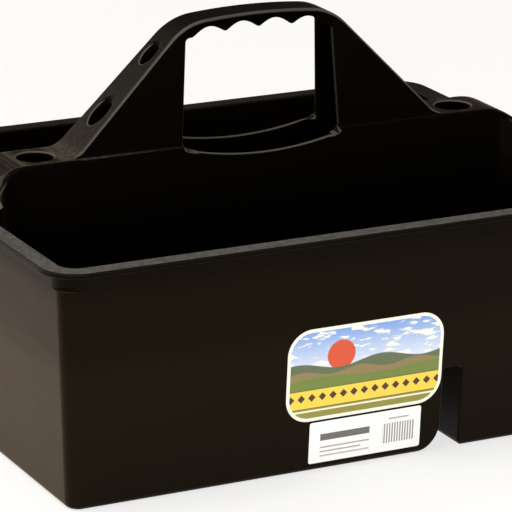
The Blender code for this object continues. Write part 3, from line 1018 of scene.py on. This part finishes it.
    def build(self, material: Material) -> None:
        """Makes the divider with its handle and dresses it.

        Args:
            material: The polyethylene.
        """
        reach = self.tub.half_length
        insert = skin("divider_with_handle", self.sections(self.stations(reach), 0, self.bottom))
        inner = self.stations(reach - self.wall)
        hollow = skin("hollow", self.sections(inner, self.wall, self.bottom - REACH))
        inner_ends = self.end_blocks(self.wall, self.seat_gap + self.wall)
        carve(hollow, [(Cut.REMOVE, end) for end in inner_ends])
        outline = self.tub.channel.outline(self.tub.wall + self.gap, -REACH)
        y = np.outer([-1, 1], np.full(len(outline), self.tub.half_width))
        saddle = along_y("saddle_cutter", outline, y)
        ends = self.end_blocks(0, self.seat_gap)
        tools = [*ends, hollow, self.opening_cutter(), *self.tool_holes(), saddle]
        carve(insert, [(Cut.REMOVE, tool) for tool in tools])
        shade(insert, SHARP_ANGLE)
        mark_bends(insert.data)
        seat(insert, "divider_handle", material)


@dataclass
class WallLabel:
    """A printed sticker pressed onto the drafted front wall."""

    name: str
    node: str
    slot: str
    length: float
    height: float
    radius: float
    right_edge: float
    lower_edge: float
    thickness: float = 0.25 * MM
    clearance: float = 0.04 * MM
    edge_radius: float = 0.1 * MM
    least_corner_radius: float = 0.3 * MM
    # Shares of half the height: a ring's largest corner radius, and how far in the innermost ring lies
    roundest_corner: float = 0.98
    innermost_ring: float = 0.96
    sharp_angle: float = math.radians(50)
    edge_steps: int = 3
    corner_steps: int = 12
    side_points: int = 20
    rings: int = 14

    def build(self, tub: Tub, material: Material) -> None:
        """Makes the sticker and dresses it.

        Formula: the outline shrinks in even steps towards the middle over the face, and the profile goes
        round the thin edge and back under the sticker.

        Args:
            tub: The tub whose front wall carries the sticker.
            material: The print.
        """
        inset = np.linspace(self.height / 2 * self.innermost_ring, self.edge_radius, self.rings)
        edge = arc((self.edge_radius, 0), self.edge_radius, QUARTER, math.pi, self.edge_steps)
        insets = np.concatenate([inset, edge[:, 0], inset[::-1]])
        face, back = np.full(self.rings, self.thickness), np.zeros(self.rings)
        lift = np.concatenate([face, self.thickness + edge[:, 1] - self.edge_radius, back])[:, None]
        half_length, half_height = self.length / 2 - insets, self.height / 2 - insets
        radii = np.maximum(self.radius - insets, self.least_corner_radius)
        radii = np.minimum(radii, self.roundest_corner * np.minimum(half_length, half_height))
        flat = rounded_rectangles(half_length, half_height, radii, self.corner_steps, self.side_points)
        u, v = flat[..., 0], flat[..., 1]
        lean, level = math.sin(tub.wall_draft), math.cos(tub.wall_draft)
        middle = self.lower_edge + self.height / 2 * level
        lift = self.clearance + lift
        x = self.right_edge - self.length / 2 + u
        y = tub.wall_inset(middle) - tub.half_width - v * lean - lift * level
        z = middle + v * level - lift * lean
        sticker = skin(self.name, np.stack([x, y, z], axis=-1))
        self.unwrap(sticker.data, middle, level)
        shade(sticker, self.sharp_angle)
        seat(sticker, self.node, material)

    def unwrap(self, mesh: Mesh, middle: float, level: float) -> None:
        """Writes a UV map in millimetres from the sticker's middle, along X and up the wall.

        Args:
            mesh: The sticker's mesh.
            middle: Height of the sticker's middle.
            level: Cosine of the wall's draft.
        """
        place = read(mesh.vertices, "co", np.float32, 3)[read(mesh.loops, "vertex_index", np.int32)]
        across = (place[:, 0] - self.right_edge + self.length / 2) / MM
        up = (place[:, 2] - middle) / level / MM
        layer = mesh.uv_layers.new(name="print_mm")
        layer.data.foreach_set("uv", np.column_stack([across, up]).astype(np.float32).ravel())


# Finishes


def linear(colour: str) -> tuple:
    """Turns an sRGB hex colour into linear red, green, blue and alpha.

    Formula: the sRGB standard's own curve, a short straight line and then a power.

    Args:
        colour: Six hex digits after a hash sign.

    Returns:
        Four linear values.
    """
    parts = np.array([int(colour[place : place + 2], 16) for place in (1, 3, 5)]) / 255
    values = np.where(parts <= 0.04045, parts / 12.92, ((parts + 0.055) / 1.055) ** 2.4)
    return (*values.tolist(), 1.0)


def feed(tree: Tree, node: Node, inputs: dict) -> None:
    """Sets a node's inputs.

    Args:
        tree: The node tree.
        node: The node.
        inputs: For each input a number or a hex colour, which is set on the socket itself, or a socket or a
            node to link. A node stands for its first output in use.
    """
    for name, value in inputs.items():
        if isinstance(value, Node):
            value = next(output for output in value.outputs if output.enabled)
        if isinstance(value, Socket):
            tree.links.new(value, node.inputs[name])
        else:
            node.inputs[name].default_value = linear(value) if isinstance(value, str) else value


def add_node(tree: Tree, kind: str, inputs: dict, **settings: object) -> Node:
    """Adds a node with its inputs and settings.

    Args:
        tree: The node tree.
        kind: The node's type name, without its leading "ShaderNode".
        inputs: What each input takes, as feed() reads it.
        settings: Values of the node's own properties.

    Returns:
        The new node.
    """
    node = tree.nodes.new("ShaderNode" + kind)
    for name, value in settings.items():
        setattr(node, name, value)
    feed(tree, node, inputs)
    return node


def new_material(name: str) -> tuple:
    """A material with its node tree and its shader.

    Args:
        name: The material's name.

    Returns:
        The material, its node tree and the shader node that feeds its output.
    """
    material = bpy.data.materials.new(name)
    material.use_nodes = True
    tree = material.node_tree
    tree.nodes.clear()
    shader = add_node(tree, "BsdfPrincipled", {})
    add_node(tree, "OutputMaterial", {"Surface": shader})
    return material, tree, shader


def lay_over(tree: Tree, base: Node | str, layers: list) -> Node:
    """Lays colours over a base, one after the other.

    Args:
        tree: The node tree.
        base: The lowest colour, as feed() reads it.
        layers: Pairs of a share of cover from 0 to 1 and a colour.

    Returns:
        The node that gives the colour seen.
    """
    for share, colour in layers:
        base = add_node(tree, "Mix", {"Factor": share, "A": base, "B": colour}, data_type="RGBA")
    return base


@dataclass(frozen=True)
class MouldedPolyethylene:
    """Black polyethylene as it leaves the injection mould, a little worn.

    Carbon black makes the body nearly black and a little brown. The eye sees the mould's fine spark-eroded
    grain as a satin sheen, the slow sink of the walls as a faint waviness in that sheen, and wear as paler
    edges and as a dull, mottled grey on the faces that look up. The paler edges are partly painted highlight,
    the grey on top is partly painted light that fades to shade along the piece, and the sheen's colour paints
    shade by height and inside the tub.
    """

    name: str
    wear_and_painted_highlight_on_edges: str
    dust_and_painted_light_on_top: str
    # Heights with the colour of the shine there, which paints light and shade by height
    shine_and_painted_shade: tuple
    # Wear and painted light on top fade from the first place to the second, down to the least share, which
    # paints shade there
    painted_light_fades: tuple
    least_top_share_in_painted_shade: float
    painted_light_along: Along = Along.LENGTH
    # Inside faces keep this share of the shine, which paints shade inside the tub
    shine_share_in_painted_shade: float = 1
    # A face's distance from the origin along its normal: inside up to the first, outside from the second
    painted_shade_inside_to_outside: tuple = (90 * MM, 120 * MM)
    body: str = "#0b0804"
    flow: str = "#0f0b07"
    roughness: float = 0.47
    roughness_spread: float = 0.03
    worn_roughness: float = 0.33
    ior: float = 1.51
    specular_level: float = 0.09
    sheen: float = 0.42
    sheen_roughness: float = 0.3
    # Radii of edges with hardly any wear and painted highlight, and of edges with the most
    widest_pale_edge: float = 3.4 * MM
    sharpest_edge: float = 2 * MM
    # Faces look up from the first upward slope on, and fully from the second one
    looks_up: tuple = (0.55, 0.9)
    # Sharpness of bend at which wear and painted light on top end, in radians per metre
    too_round: tuple = (110, 190)
    # Wear and painted light on top start between these heights
    pale_top_above: tuple = (149.8 * MM, 150.8 * MM)
    mottle: float = 3 * MM
    mottle_range: tuple = (0.6, 1.15)
    # The real grain is about 0.1 mm and too fine to show, so it is drawn at 0.9 mm
    grain: float = 0.9 * MM
    grain_height: float = 0.012 * MM
    sink: float = 34 * MM
    sink_height: float = 0.12 * MM
    scuff: float = 7 * MM
    scuff_turn: tuple = (0.3, 0.5, 0.9)
    scuff_stretch: tuple = (1, 0.12, 1)
    # Between these values lies most of the mottle's noise, and of the scuffs' noise
    mottle_span: tuple = (0.35, 0.65)
    scuff_span: tuple = (0.3, 0.7)

    def build(self) -> Material:
        """Makes the material.

        Returns:
            The material, with patterns on Object coordinates in metres.
        """
        material, tree, shader = new_material(self.name)
        space = add_node(tree, "TexCoord", {}).outputs
        place, axes = space["Object"], add_node(tree, "SeparateXYZ", {"Vector": space["Object"]}).outputs
        sink = add_node(tree, "TexNoise", {"Vector": place, "Scale": 1 / self.sink, "Detail": 3})
        bend = add_node(tree, "Attribute", {}, attribute_name="bend").outputs["Fac"]
        ends = {"From Min": 1 / self.widest_pale_edge, "From Max": 1 / self.sharpest_edge}
        edge = add_node(tree, "MapRange", {"Value": bend, **ends})
        top = self.top_wear_and_painted_light(tree, space, axes, bend)
        layers = [(sink, self.flow), (top, self.dust_and_painted_light_on_top), (edge, self.wear_and_painted_highlight_on_edges)]
        shine_and_painted_shade = self.shine_with_painted_shade_at(tree, space, axes["Z"])
        inputs = {
            "Base Color": lay_over(tree, self.body, layers),
            "Roughness": self.patchy_roughness(tree, place, edge),
            "Normal": self.relief(tree, place, sink),
            "IOR": self.ior,
            "Specular IOR Level": self.specular_level,
            "Specular Tint": shine_and_painted_shade,
            "Sheen Weight": self.sheen,
            "Sheen Roughness": self.sheen_roughness,
            "Sheen Tint": shine_and_painted_shade,
        }
        feed(tree, shader, inputs)
        return material

    def top_wear_and_painted_light(self, tree: Tree, space: Outputs, axes: Outputs, bend: Socket) -> Node:
        """Share of wear and painted light on top, by a face's upward look, flatness, height, place and a
        mottle.

        Formula: the product of five smooth ramps, one for each of these. The ramp by place paints light at
        one end and shade at the other.

        Args:
            tree: The node tree.
            space: Outputs that hold the object's coordinates and normal.
            axes: The three outputs that hold X, Y and Z.
            bend: Sharpness of the bend.

        Returns:
            The node that gives the share.
        """
        upward = add_node(tree, "SeparateXYZ", {"Vector": space["Normal"]}).outputs["Z"]
        spots = add_node(tree, "TexNoise", {"Vector": space["Object"], "Scale": 1 / self.mottle, "Detail": 3})
        ramps = [
            (upward, self.looks_up, (0, 1)),
            (bend, self.too_round, (1, 0)),
            (axes["Z"], self.pale_top_above, (0, 1)),
            (axes[self.painted_light_along.value], self.painted_light_fades, (1, self.least_top_share_in_painted_shade)),
            (spots, self.mottle_span, self.mottle_range),
        ]
        share = 1.0
        for value, (low, high), (first, last) in ramps:
            ends = {"From Min": low, "From Max": high, "To Min": first, "To Max": last}
            ramp = add_node(tree, "MapRange", {"Value": value, **ends}, interpolation_type="SMOOTHSTEP")
            share = add_node(tree, "Math", {0: share, 1: ramp}, operation="MULTIPLY")
        return share

    def shine_with_painted_shade_at(self, tree: Tree, space: Outputs, height: Socket) -> Node:
        """Colour of the shine with painted shade, blended evenly between the given heights and darker inside.

        Args:
            tree: The node tree.
            space: Outputs that hold the object's coordinates and normal.
            height: The height.

        Returns:
            The node that gives the colour.
        """
        top = self.shine_and_painted_shade[-1][0]
        share = add_node(tree, "Math", {0: height, 1: top}, operation="DIVIDE")
        ramp = add_node(tree, "ValToRGB", {"Fac": share})
        stops = ramp.color_ramp.elements
        for level, _ in self.shine_and_painted_shade[1:-1]:
            stops.new(level / top)
        for stop, (level, colour) in zip(stops, self.shine_and_painted_shade):
            stop.position = level / top
            stop.color = linear(colour)
        faces = {0: space["Normal"], 1: space["Object"]}
        outwards = add_node(tree, "VectorMath", faces, operation="DOT_PRODUCT")
        low, high = self.painted_shade_inside_to_outside
        ends = {"From Min": low, "From Max": high, "To Min": self.shine_share_in_painted_shade, "To Max": 1}
        return lay_over(tree, "#000000", [(add_node(tree, "MapRange", {"Value": outwards, **ends}), ramp)])

    def patchy_roughness(self, tree: Tree, place: Socket, edge: Node) -> Node:
        """Roughness with long scuffs, and smoother at worn edges.

        Args:
            tree: The node tree.
            place: Object coordinates.
            edge: Share of wear and painted highlight on edges.

        Returns:
            The node that gives the roughness.
        """
        turned = {"Vector": place, "Rotation": self.scuff_turn, "Scale": self.scuff_stretch}
        pattern = {"Vector": add_node(tree, "Mapping", turned), "Scale": 1 / self.scuff}
        scuff = add_node(tree, "TexNoise", {**pattern, "Detail": 6, "Roughness": 0.7})
        low, high = self.scuff_span
        least, most = self.roughness - self.roughness_spread, self.roughness + self.roughness_spread
        ends = {"From Min": low, "From Max": high, "To Min": least, "To Max": most}
        rough = add_node(tree, "MapRange", {"Value": scuff, **ends})
        return add_node(tree, "Mix", {"Factor": edge, "A": rough, "B": self.worn_roughness})

    def relief(self, tree: Tree, place: Socket, sink: Node) -> Node:
        """Normals that show the walls' slow sink and the mould's grain.

        Args:
            tree: The node tree.
            place: Object coordinates.
            sink: Height pattern of the sink.

        Returns:
            The node that gives the normal.
        """
        waves = add_node(tree, "Bump", {"Height": sink, "Distance": self.sink_height, "Strength": 1})
        grain = add_node(tree, "TexNoise", {"Vector": place, "Scale": 1 / self.grain, "Detail": 2})
        return add_node(tree, "Bump", {"Height": grain, "Distance": self.grain_height, "Normal": waves})


@dataclass(frozen=True)
class Print:
    """Ink on a sticker's film, with places and sizes in millimetres from its middle, on its UV map."""

    name: str
    roughness: float
    ior: float = 1.5
    # Half the width over which an inked edge blends
    blur: float = 0.15

    def start(self) -> tuple:
        """Makes the bare material.

        Returns:
            The material, its tree, its shader, the UV map's node and the outputs that hold its X and Y.
        """
        material, tree, shader = new_material(self.name)
        feed(tree, shader, {"Roughness": self.roughness, "IOR": self.ior})
        place = add_node(tree, "UVMap", {}, uv_map="print_mm")
        return material, tree, shader, place, add_node(tree, "SeparateXYZ", {"Vector": place}).outputs

    def inside(self, tree: Tree, distance: Node, limit: float) -> Node:
        """Mask that is 1 where a distance is under a limit."""
        ends = {"From Min": limit - self.blur, "From Max": limit + self.blur, "To Min": 1, "To Max": 0}
        return add_node(tree, "MapRange", {"Value": distance, **ends})

    def strip(self, tree: Tree, axis: Socket, middle: float, half: float) -> Node:
        """Mask that is 1 along a strip.

        Args:
            tree: The node tree.
            axis: Place on the axis that the strip lies across.
            middle: Place of the strip's middle line.
            half: Half its width.

        Returns:
            The node that gives the mask.
        """
        moved = add_node(tree, "Math", {0: axis, 1: middle}, operation="SUBTRACT")
        return self.inside(tree, add_node(tree, "Math", {0: moved}, operation="ABSOLUTE"), half)


@dataclass(frozen=True)
class PrintedLandscape(Print):
    """Printed vinyl film: process inks under a clear gloss layer, so the colours are flat and slightly shiny.

    The picture is a plain one of hills, clouds and a low sun over a yellow band with a row of lozenges.
    """

    name: str = "printed_vinyl_landscape"
    roughness: float = 0.32
    low_sky: str = "#d9e2ee"
    high_sky: str = "#7fa3dd"
    sky_rises: tuple = (2, 26)
    cloud: str = "#f1eee8"
    cloud_squeeze: tuple = (0.05, 0.16, 1)
    cloud_scale: float = 1.6
    cloud_edge: tuple = (0.52, 0.6)
    sun: str = "#d4512c"
    sun_place: tuple = (-17, 11, 0)
    sun_radius: float = 9.5
    # Colour, mean height, swell, radians in each millimetre and phase of each range of hills
    hills: tuple = (
        ("#5f6a4c", 5.5, 2.4, 0.11, 0.4),
        ("#8a7a4e", 1, 1.6, 0.16, 2.2),
        ("#6f8036", -3, 1.2, 0.08, 4),
    )
    # Colour, middle and half depth of each level band
    bands: tuple = (
        ("#4a3413", -15.8, 6.6),
        ("#efd04a", -15.4, 5.8),
        ("#8c8a3a", -26.6, 5),
        ("#f3ead0", -23.2, 0.6),
    )
    lozenge: str = "#4d2b14"
    lozenge_middle: float = -14.6
    lozenge_half: float = 2.6
    lozenge_spacing: float = 3.6
    border: str = "#f5f0e2"
    border_width: float = 2.2

    def build(self, label: WallLabel) -> Material:
        """Makes the material.

        Args:
            label: The sticker that carries the print, for the shape of its border.

        Returns:
            The material.
        """
        material, tree, shader, place, axes = self.start()
        across, up = axes["X"], axes["Y"]
        low, high = self.sky_rises
        sky = add_node(tree, "MapRange", {"Value": up, "From Min": low, "From Max": high})
        drift = add_node(tree, "Mapping", {"Vector": place, "Scale": self.cloud_squeeze})
        puffs = add_node(tree, "TexNoise", {"Vector": drift, "Scale": self.cloud_scale, "Detail": 3})
        low, high = self.cloud_edge
        ends = {"From Min": low, "From Max": high}
        clouds = add_node(tree, "MapRange", {"Value": puffs, **ends}, interpolation_type="SMOOTHSTEP")
        from_sun = add_node(tree, "VectorMath", {0: place, 1: self.sun_place}, operation="DISTANCE")
        disc = self.inside(tree, from_sun, self.sun_radius)
        layers = [(sky, self.high_sky), (clouds, self.cloud), (disc, self.sun)]
        for colour, level, swell, pace, phase in self.hills:
            angle = add_node(tree, "Math", {0: across, 1: pace, 2: phase}, operation="MULTIPLY_ADD")
            wave = add_node(tree, "Math", {0: angle}, operation="SINE")
            line = add_node(tree, "Math", {0: wave, 1: swell, 2: level}, operation="MULTIPLY_ADD")
            above = add_node(tree, "Math", {0: up, 1: line}, operation="SUBTRACT")
            layers.append((self.inside(tree, above, 0), colour))
        layers += [(self.strip(tree, up, middle, half), colour) for colour, middle, half in self.bands]
        along = add_node(tree, "Math", {0: across, 1: self.lozenge_spacing}, operation="PINGPONG")
        off = add_node(tree, "Math", {0: up, 1: self.lozenge_middle}, operation="SUBTRACT")
        off = add_node(tree, "Math", {0: off}, operation="ABSOLUTE")
        reach = add_node(tree, "Math", {0: along, 1: off}, operation="ADD")
        layers.append((self.inside(tree, reach, self.lozenge_half), self.lozenge))
        picture = lay_over(tree, self.low_sky, layers)
        framed = lay_over(tree, self.border, [(self.within_border(tree, axes, label), picture)])
        feed(tree, shader, {"Base Color": framed})
        return material

    def within_border(self, tree: Tree, axes: Outputs, label: WallLabel) -> Node:
        """Mask that is 1 inside a border of even width along the sticker's rounded edge.

        Formula: outside the rectangle of the corner centres, the corner radius less the distance to that
        rectangle is the distance from the edge.

        Args:
            tree: The node tree.
            axes: The outputs that hold X and Y.
            label: The sticker.

        Returns:
            The node that gives the mask.
        """
        radius = label.radius / MM
        gaps = {}
        for axis, half in (("X", label.length / 2 / MM), ("Y", label.height / 2 / MM)):
            size = add_node(tree, "Math", {0: axes[axis]}, operation="ABSOLUTE")
            gaps[axis] = add_node(tree, "Math", {0: size, 1: half - radius}, operation="SUBTRACT")
        corner = add_node(tree, "CombineXYZ", gaps)
        outer = add_node(tree, "VectorMath", {0: corner, 1: (0, 0, 0)}, operation="MAXIMUM")
        length = add_node(tree, "VectorMath", {0: outer}, operation="LENGTH")
        return self.inside(tree, length, radius - self.border_width)


@dataclass(frozen=True)
class TagFilm(Print):
    """White synthetic paper with grey rules: a matt film that the eye sees as paper with a faint sheen."""

    name: str = "white_synthetic_paper"
    roughness: float = 0.5
    blur: float = 0.1
    paper: str = "#f3f3f0"
    fibre: str = "#fafaf8"
    fibre_scale: float = 0.8
    # Colour, middle across and up, and half length and height of each printed block
    blocks: tuple = (
        ("#6a6763", -14, 3, 17, 2.2),
        ("#a9a6a1", -14, -3.6, 17, 0.5),
        ("#a9a6a1", -17, -6.4, 14, 0.5),
        ("#b8b5b0", -14, -9.2, 17, 0.5),
        ("#a9a6a1", 23, 8, 7, 0.5),
    )
    # Ink of the evenly spaced bars, the block that holds them, their spacing and where they blend
    bar: str = "#8b8883"
    bar_block: tuple = (23, -1.5, 11, 6.5)
    bar_spacing: float = 0.9
    bar_edge: tuple = (0.35, 0.55)

    def build(self) -> Material:
        """Makes the material.

        Returns:
            The material, with plain rules and evenly spaced bars.
        """
        material, tree, shader, place, axes = self.start()
        fibre = add_node(tree, "TexNoise", {"Vector": place, "Scale": self.fibre_scale, "Detail": 4})
        layers = [(fibre, self.fibre)]
        layers += [(self.block(tree, axes, *shape), ink) for ink, *shape in self.blocks]
        stripes = add_node(tree, "Math", {0: axes["X"], 1: self.bar_spacing}, operation="PINGPONG")
        low, high = self.bar_edge
        lines = add_node(tree, "MapRange", {"Value": stripes, "From Min": low, "From Max": high})
        room = self.block(tree, axes, *self.bar_block)
        layers.append((add_node(tree, "Math", {0: lines, 1: room}, operation="MULTIPLY"), self.bar))
        feed(tree, shader, {"Base Color": lay_over(tree, self.paper, layers)})
        return material

    def block(self, tree: Tree, axes: Outputs, x: float, y: float, wide: float, high: float) -> Node:
        """Mask that is 1 inside a rectangle given by its middle and half sizes."""
        across, up = self.strip(tree, axes["X"], x, wide), self.strip(tree, axes["Y"], y, high)
        return add_node(tree, "Math", {0: across, 1: up}, operation="MULTIPLY")


# Studio


@dataclass
class SoftBox:
    """A large rectangular lamp that points at a place on the tote."""

    name: str
    place: tuple
    aim: tuple
    size: tuple
    power: float
    colour: str

    def build(self) -> None:
        """Adds the lamp to the scene, unseen by the camera."""
        lamp = bpy.data.lights.new(self.name, "AREA")
        lamp.shape = "RECTANGLE"
        lamp.size, lamp.size_y = self.size
        lamp.energy = self.power
        lamp.color = linear(self.colour)[:3]
        thing = new_object(self.name, lamp)
        thing.location = self.place
        thing.visible_camera = False
        thing.rotation_euler = (Vector(self.aim) - Vector(self.place)).to_track_quat("-Z", "Y").to_euler()


@dataclass
class SoftSun:
    """A broad, even light from far away, which lights the whole floor alike."""

    name: str
    towards: tuple
    strength: float
    angle: float
    colour: str

    def build(self) -> None:
        """Adds the lamp to the scene."""
        lamp = bpy.data.lights.new(self.name, "SUN")
        lamp.energy = self.strength
        lamp.angle = self.angle
        lamp.color = linear(self.colour)[:3]
        thing = new_object(self.name, lamp)
        thing.rotation_euler = Vector(self.towards).to_track_quat("Z", "Y").to_euler()


@dataclass
class Studio:
    """Plain white floor, dim even surroundings and soft lamps."""

    floor_colour: str = "#f7f7f6"
    floor_roughness: float = 0.9
    floor_glow: float = 0.72
    half_floor: float = 8
    world_colour: str = "#ffffff"
    world_strength: float = 0.12
    lamps: tuple = (
        SoftSun("high_soft_sun", (-0.45, 0.1, 1), 2, math.radians(50), "#fff8f0"),
        SoftBox("overhead_soft_box", (-0.3, -0.2, 1.7), (0, 0, 0.15), (0.6, 0.5), 9, "#fffaf4"),
        SoftBox("rear_soft_box", (-0.7, 1.9, 0.75), (0, 0, 0.15), (1.2, 0.9), 5, "#fff6ec"),
        SoftBox("left_soft_box", (-1.5, 0.9, 0.5), (0, 0, 0.1), (1.2, 0.8), 12, "#ffe2c2"),
        SoftBox("front_soft_box", (-0.7, -2.2, 0.4), (0, 0, 0.1), (1.6, 0.6), 34, "#ffffff"),
    )

    def build(self) -> None:
        """Adds the floor, the world and the lamps."""
        self.lay_floor()
        world = bpy.data.worlds.new("studio_surroundings")
        bpy.context.scene.world = world
        world.use_nodes = True
        tree = world.node_tree
        feed(tree, tree.nodes["Background"], {"Color": self.world_colour, "Strength": self.world_strength})
        for lamp in self.lamps:
            lamp.build()

    def lay_floor(self) -> None:
        """Lays a plain matt floor under the tote.

        To the camera, and in reflections and through clear things, most of the floor glows at full white and
        the rest takes the lamps' light, so that it looks white and keeps the tote's shadow.
        """
        corners = self.half_floor * np.array([(-1, -1, 0), (1, -1, 0), (1, 1, 0), (-1, 1, 0)])
        mesh = bpy.data.meshes.new("studio_floor")
        mesh.from_pydata(corners.tolist(), [], [(0, 1, 2, 3)])
        material, tree, shader = new_material("matt_painted_floor")
        paint = {"Base Color": self.floor_colour, "Roughness": self.floor_roughness, "Specular IOR Level": 0}
        feed(tree, shader, paint)
        path = add_node(tree, "LightPath", {}).outputs
        seen = path["Is Camera Ray"]
        for ray in ("Is Glossy Ray", "Is Transmission Ray"):
            seen = add_node(tree, "Math", {0: seen, 1: path[ray]}, operation="MAXIMUM")
        share = add_node(tree, "Math", {0: seen, 1: self.floor_glow}, operation="MULTIPLY")
        glow = add_node(tree, "Emission", {"Color": "#ffffff", "Strength": 1})
        mixed = add_node(tree, "MixShader", {0: share, 1: shader, 2: glow})
        feed(tree, tree.nodes["Material Output"], {"Surface": mixed})
        mesh.materials.append(material)
        floor = new_object("studio_floor", mesh)


@dataclass
class PhotoCamera:
    """The photograph's view: a long lens from the left front, a little above the handle."""

    place: tuple = (-0.96543, -1.89822, 0.76563)
    yaw: float = math.radians(27.09)
    pitch: float = math.radians(17.52)
    roll: float = math.radians(0.70)
    lens: float = 246.9
    sensor: float = 36

    def build(self) -> None:
        """Adds the camera and makes it the scene's own.

        Formula: forward comes from yaw and pitch, right is level and square to it, and up is square to both.
        The roll turns right and up about forward.
        """
        level = math.cos(self.pitch)
        forward = Vector((math.sin(self.yaw) * level, math.cos(self.yaw) * level, -math.sin(self.pitch)))
        right = Vector((math.cos(self.yaw), -math.sin(self.yaw), 0))
        up = right.cross(forward)
        turned_right = math.cos(self.roll) * right + math.sin(self.roll) * up
        turned_up = math.cos(self.roll) * up - math.sin(self.roll) * right
        lens = bpy.data.cameras.new("photo_camera")
        lens.lens = self.lens
        lens.sensor_width = self.sensor
        camera = new_object("photo_camera", lens)
        turn = Matrix((turned_right, turned_up, -forward)).transposed().to_4x4()
        camera.matrix_world = Matrix.Translation(self.place) @ turn
        bpy.context.scene.camera = camera


def clear_start_objects() -> None:
    """Removes what a new Blender scene starts with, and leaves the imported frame."""
    kept = {*frame["nodes"].values(), *frame["bodies"].values()}
    for thing in list(bpy.data.objects):
        if thing not in kept:
            bpy.data.objects.remove(thing)


def main() -> None:
    """Builds the studio, the camera and each sub-assembly in order."""
    logging.basicConfig(level=logging.INFO, format="%(name)s %(message)s")
    clear_start_objects()
    bpy.context.scene.view_settings.view_transform = "Standard"
    Studio().build()
    PhotoCamera().build()
    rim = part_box("tub")[1]
    tub = Tub(half_length=rim.x, half_width=rim.y, rim_height=rim.z)
    shell = MouldedPolyethylene(
        "moulded_black_polyethylene",
        wear_and_painted_highlight_on_edges="#14120f",
        dust_and_painted_light_on_top="#52504d",
        # Painted light and shade by height: brightest a little below halfway up the walls, darkest just under
        # the rim's flange
        shine_and_painted_shade=(
            (0, "#e4bf94"),
            (60 * MM, "#ffd6a6"),
            (82 * MM, "#ffd6a6"),
            (98 * MM, "#dab080"),
            (128 * MM, "#dab080"),
            (147.5 * MM, "#76604a"),
            (149.8 * MM, "#4a4037"),
            (151.5 * MM, "#605f5d"),
        ),
        # Painted light on the rim's top: lit at the front, in shade towards the rear
        painted_light_fades=(-60 * MM, 130 * MM),
        least_top_share_in_painted_shade=0,
        painted_light_along=Along.WIDTH,
        shine_share_in_painted_shade=0.3,
    )
    tub.build(shell.build())
    # A darker copy of the tub's polyethylene: the darker body and the weaker specular and sheen paint shade
    # on the insert
    insert = MouldedPolyethylene(
        "moulded_black_polyethylene_insert",
        wear_and_painted_highlight_on_edges="#4c4843",
        dust_and_painted_light_on_top="#393631",
        # Painted shade darkens the shine on top of the grip
        shine_and_painted_shade=((0, "#ffdcb4"), (240 * MM, "#ffdcb4"), (251 * MM, "#4a4037"), (256 * MM, "#3a322b")),
        # Painted light on top: lit at the left end, in shade towards the right
        painted_light_fades=(-150 * MM, -35 * MM),
        least_top_share_in_painted_shade=0.06,
        body="#020201",
        flow="#040302",
        specular_level=0.025,
        sheen=0.09,
    )
    DividerHandle(tub).build(insert.build())
    tag = WallLabel(
        name="white_tag",
        node="information_label",
        slot="tag_film",
        length=77 * MM,
        height=27 * MM,
        radius=1.5 * MM,
        right_edge=tub.channel.left - 14.4 * MM,
        lower_edge=5.2 * MM,
    )
    picture = WallLabel(
        name="landscape_sticker",
        node="picture_label",
        slot="picture_print",
        length=107 * MM,
        height=60 * MM,
        radius=16 * MM,
        right_edge=tub.channel.left - 1.5 * MM,
        lower_edge=tag.lower_edge + tag.height + 1.3 * MM,
    )
    picture.build(tub, PrintedLandscape().build(picture))
    tag.build(tub, TagFilm().build())


if __name__ == "__main__":
    main()
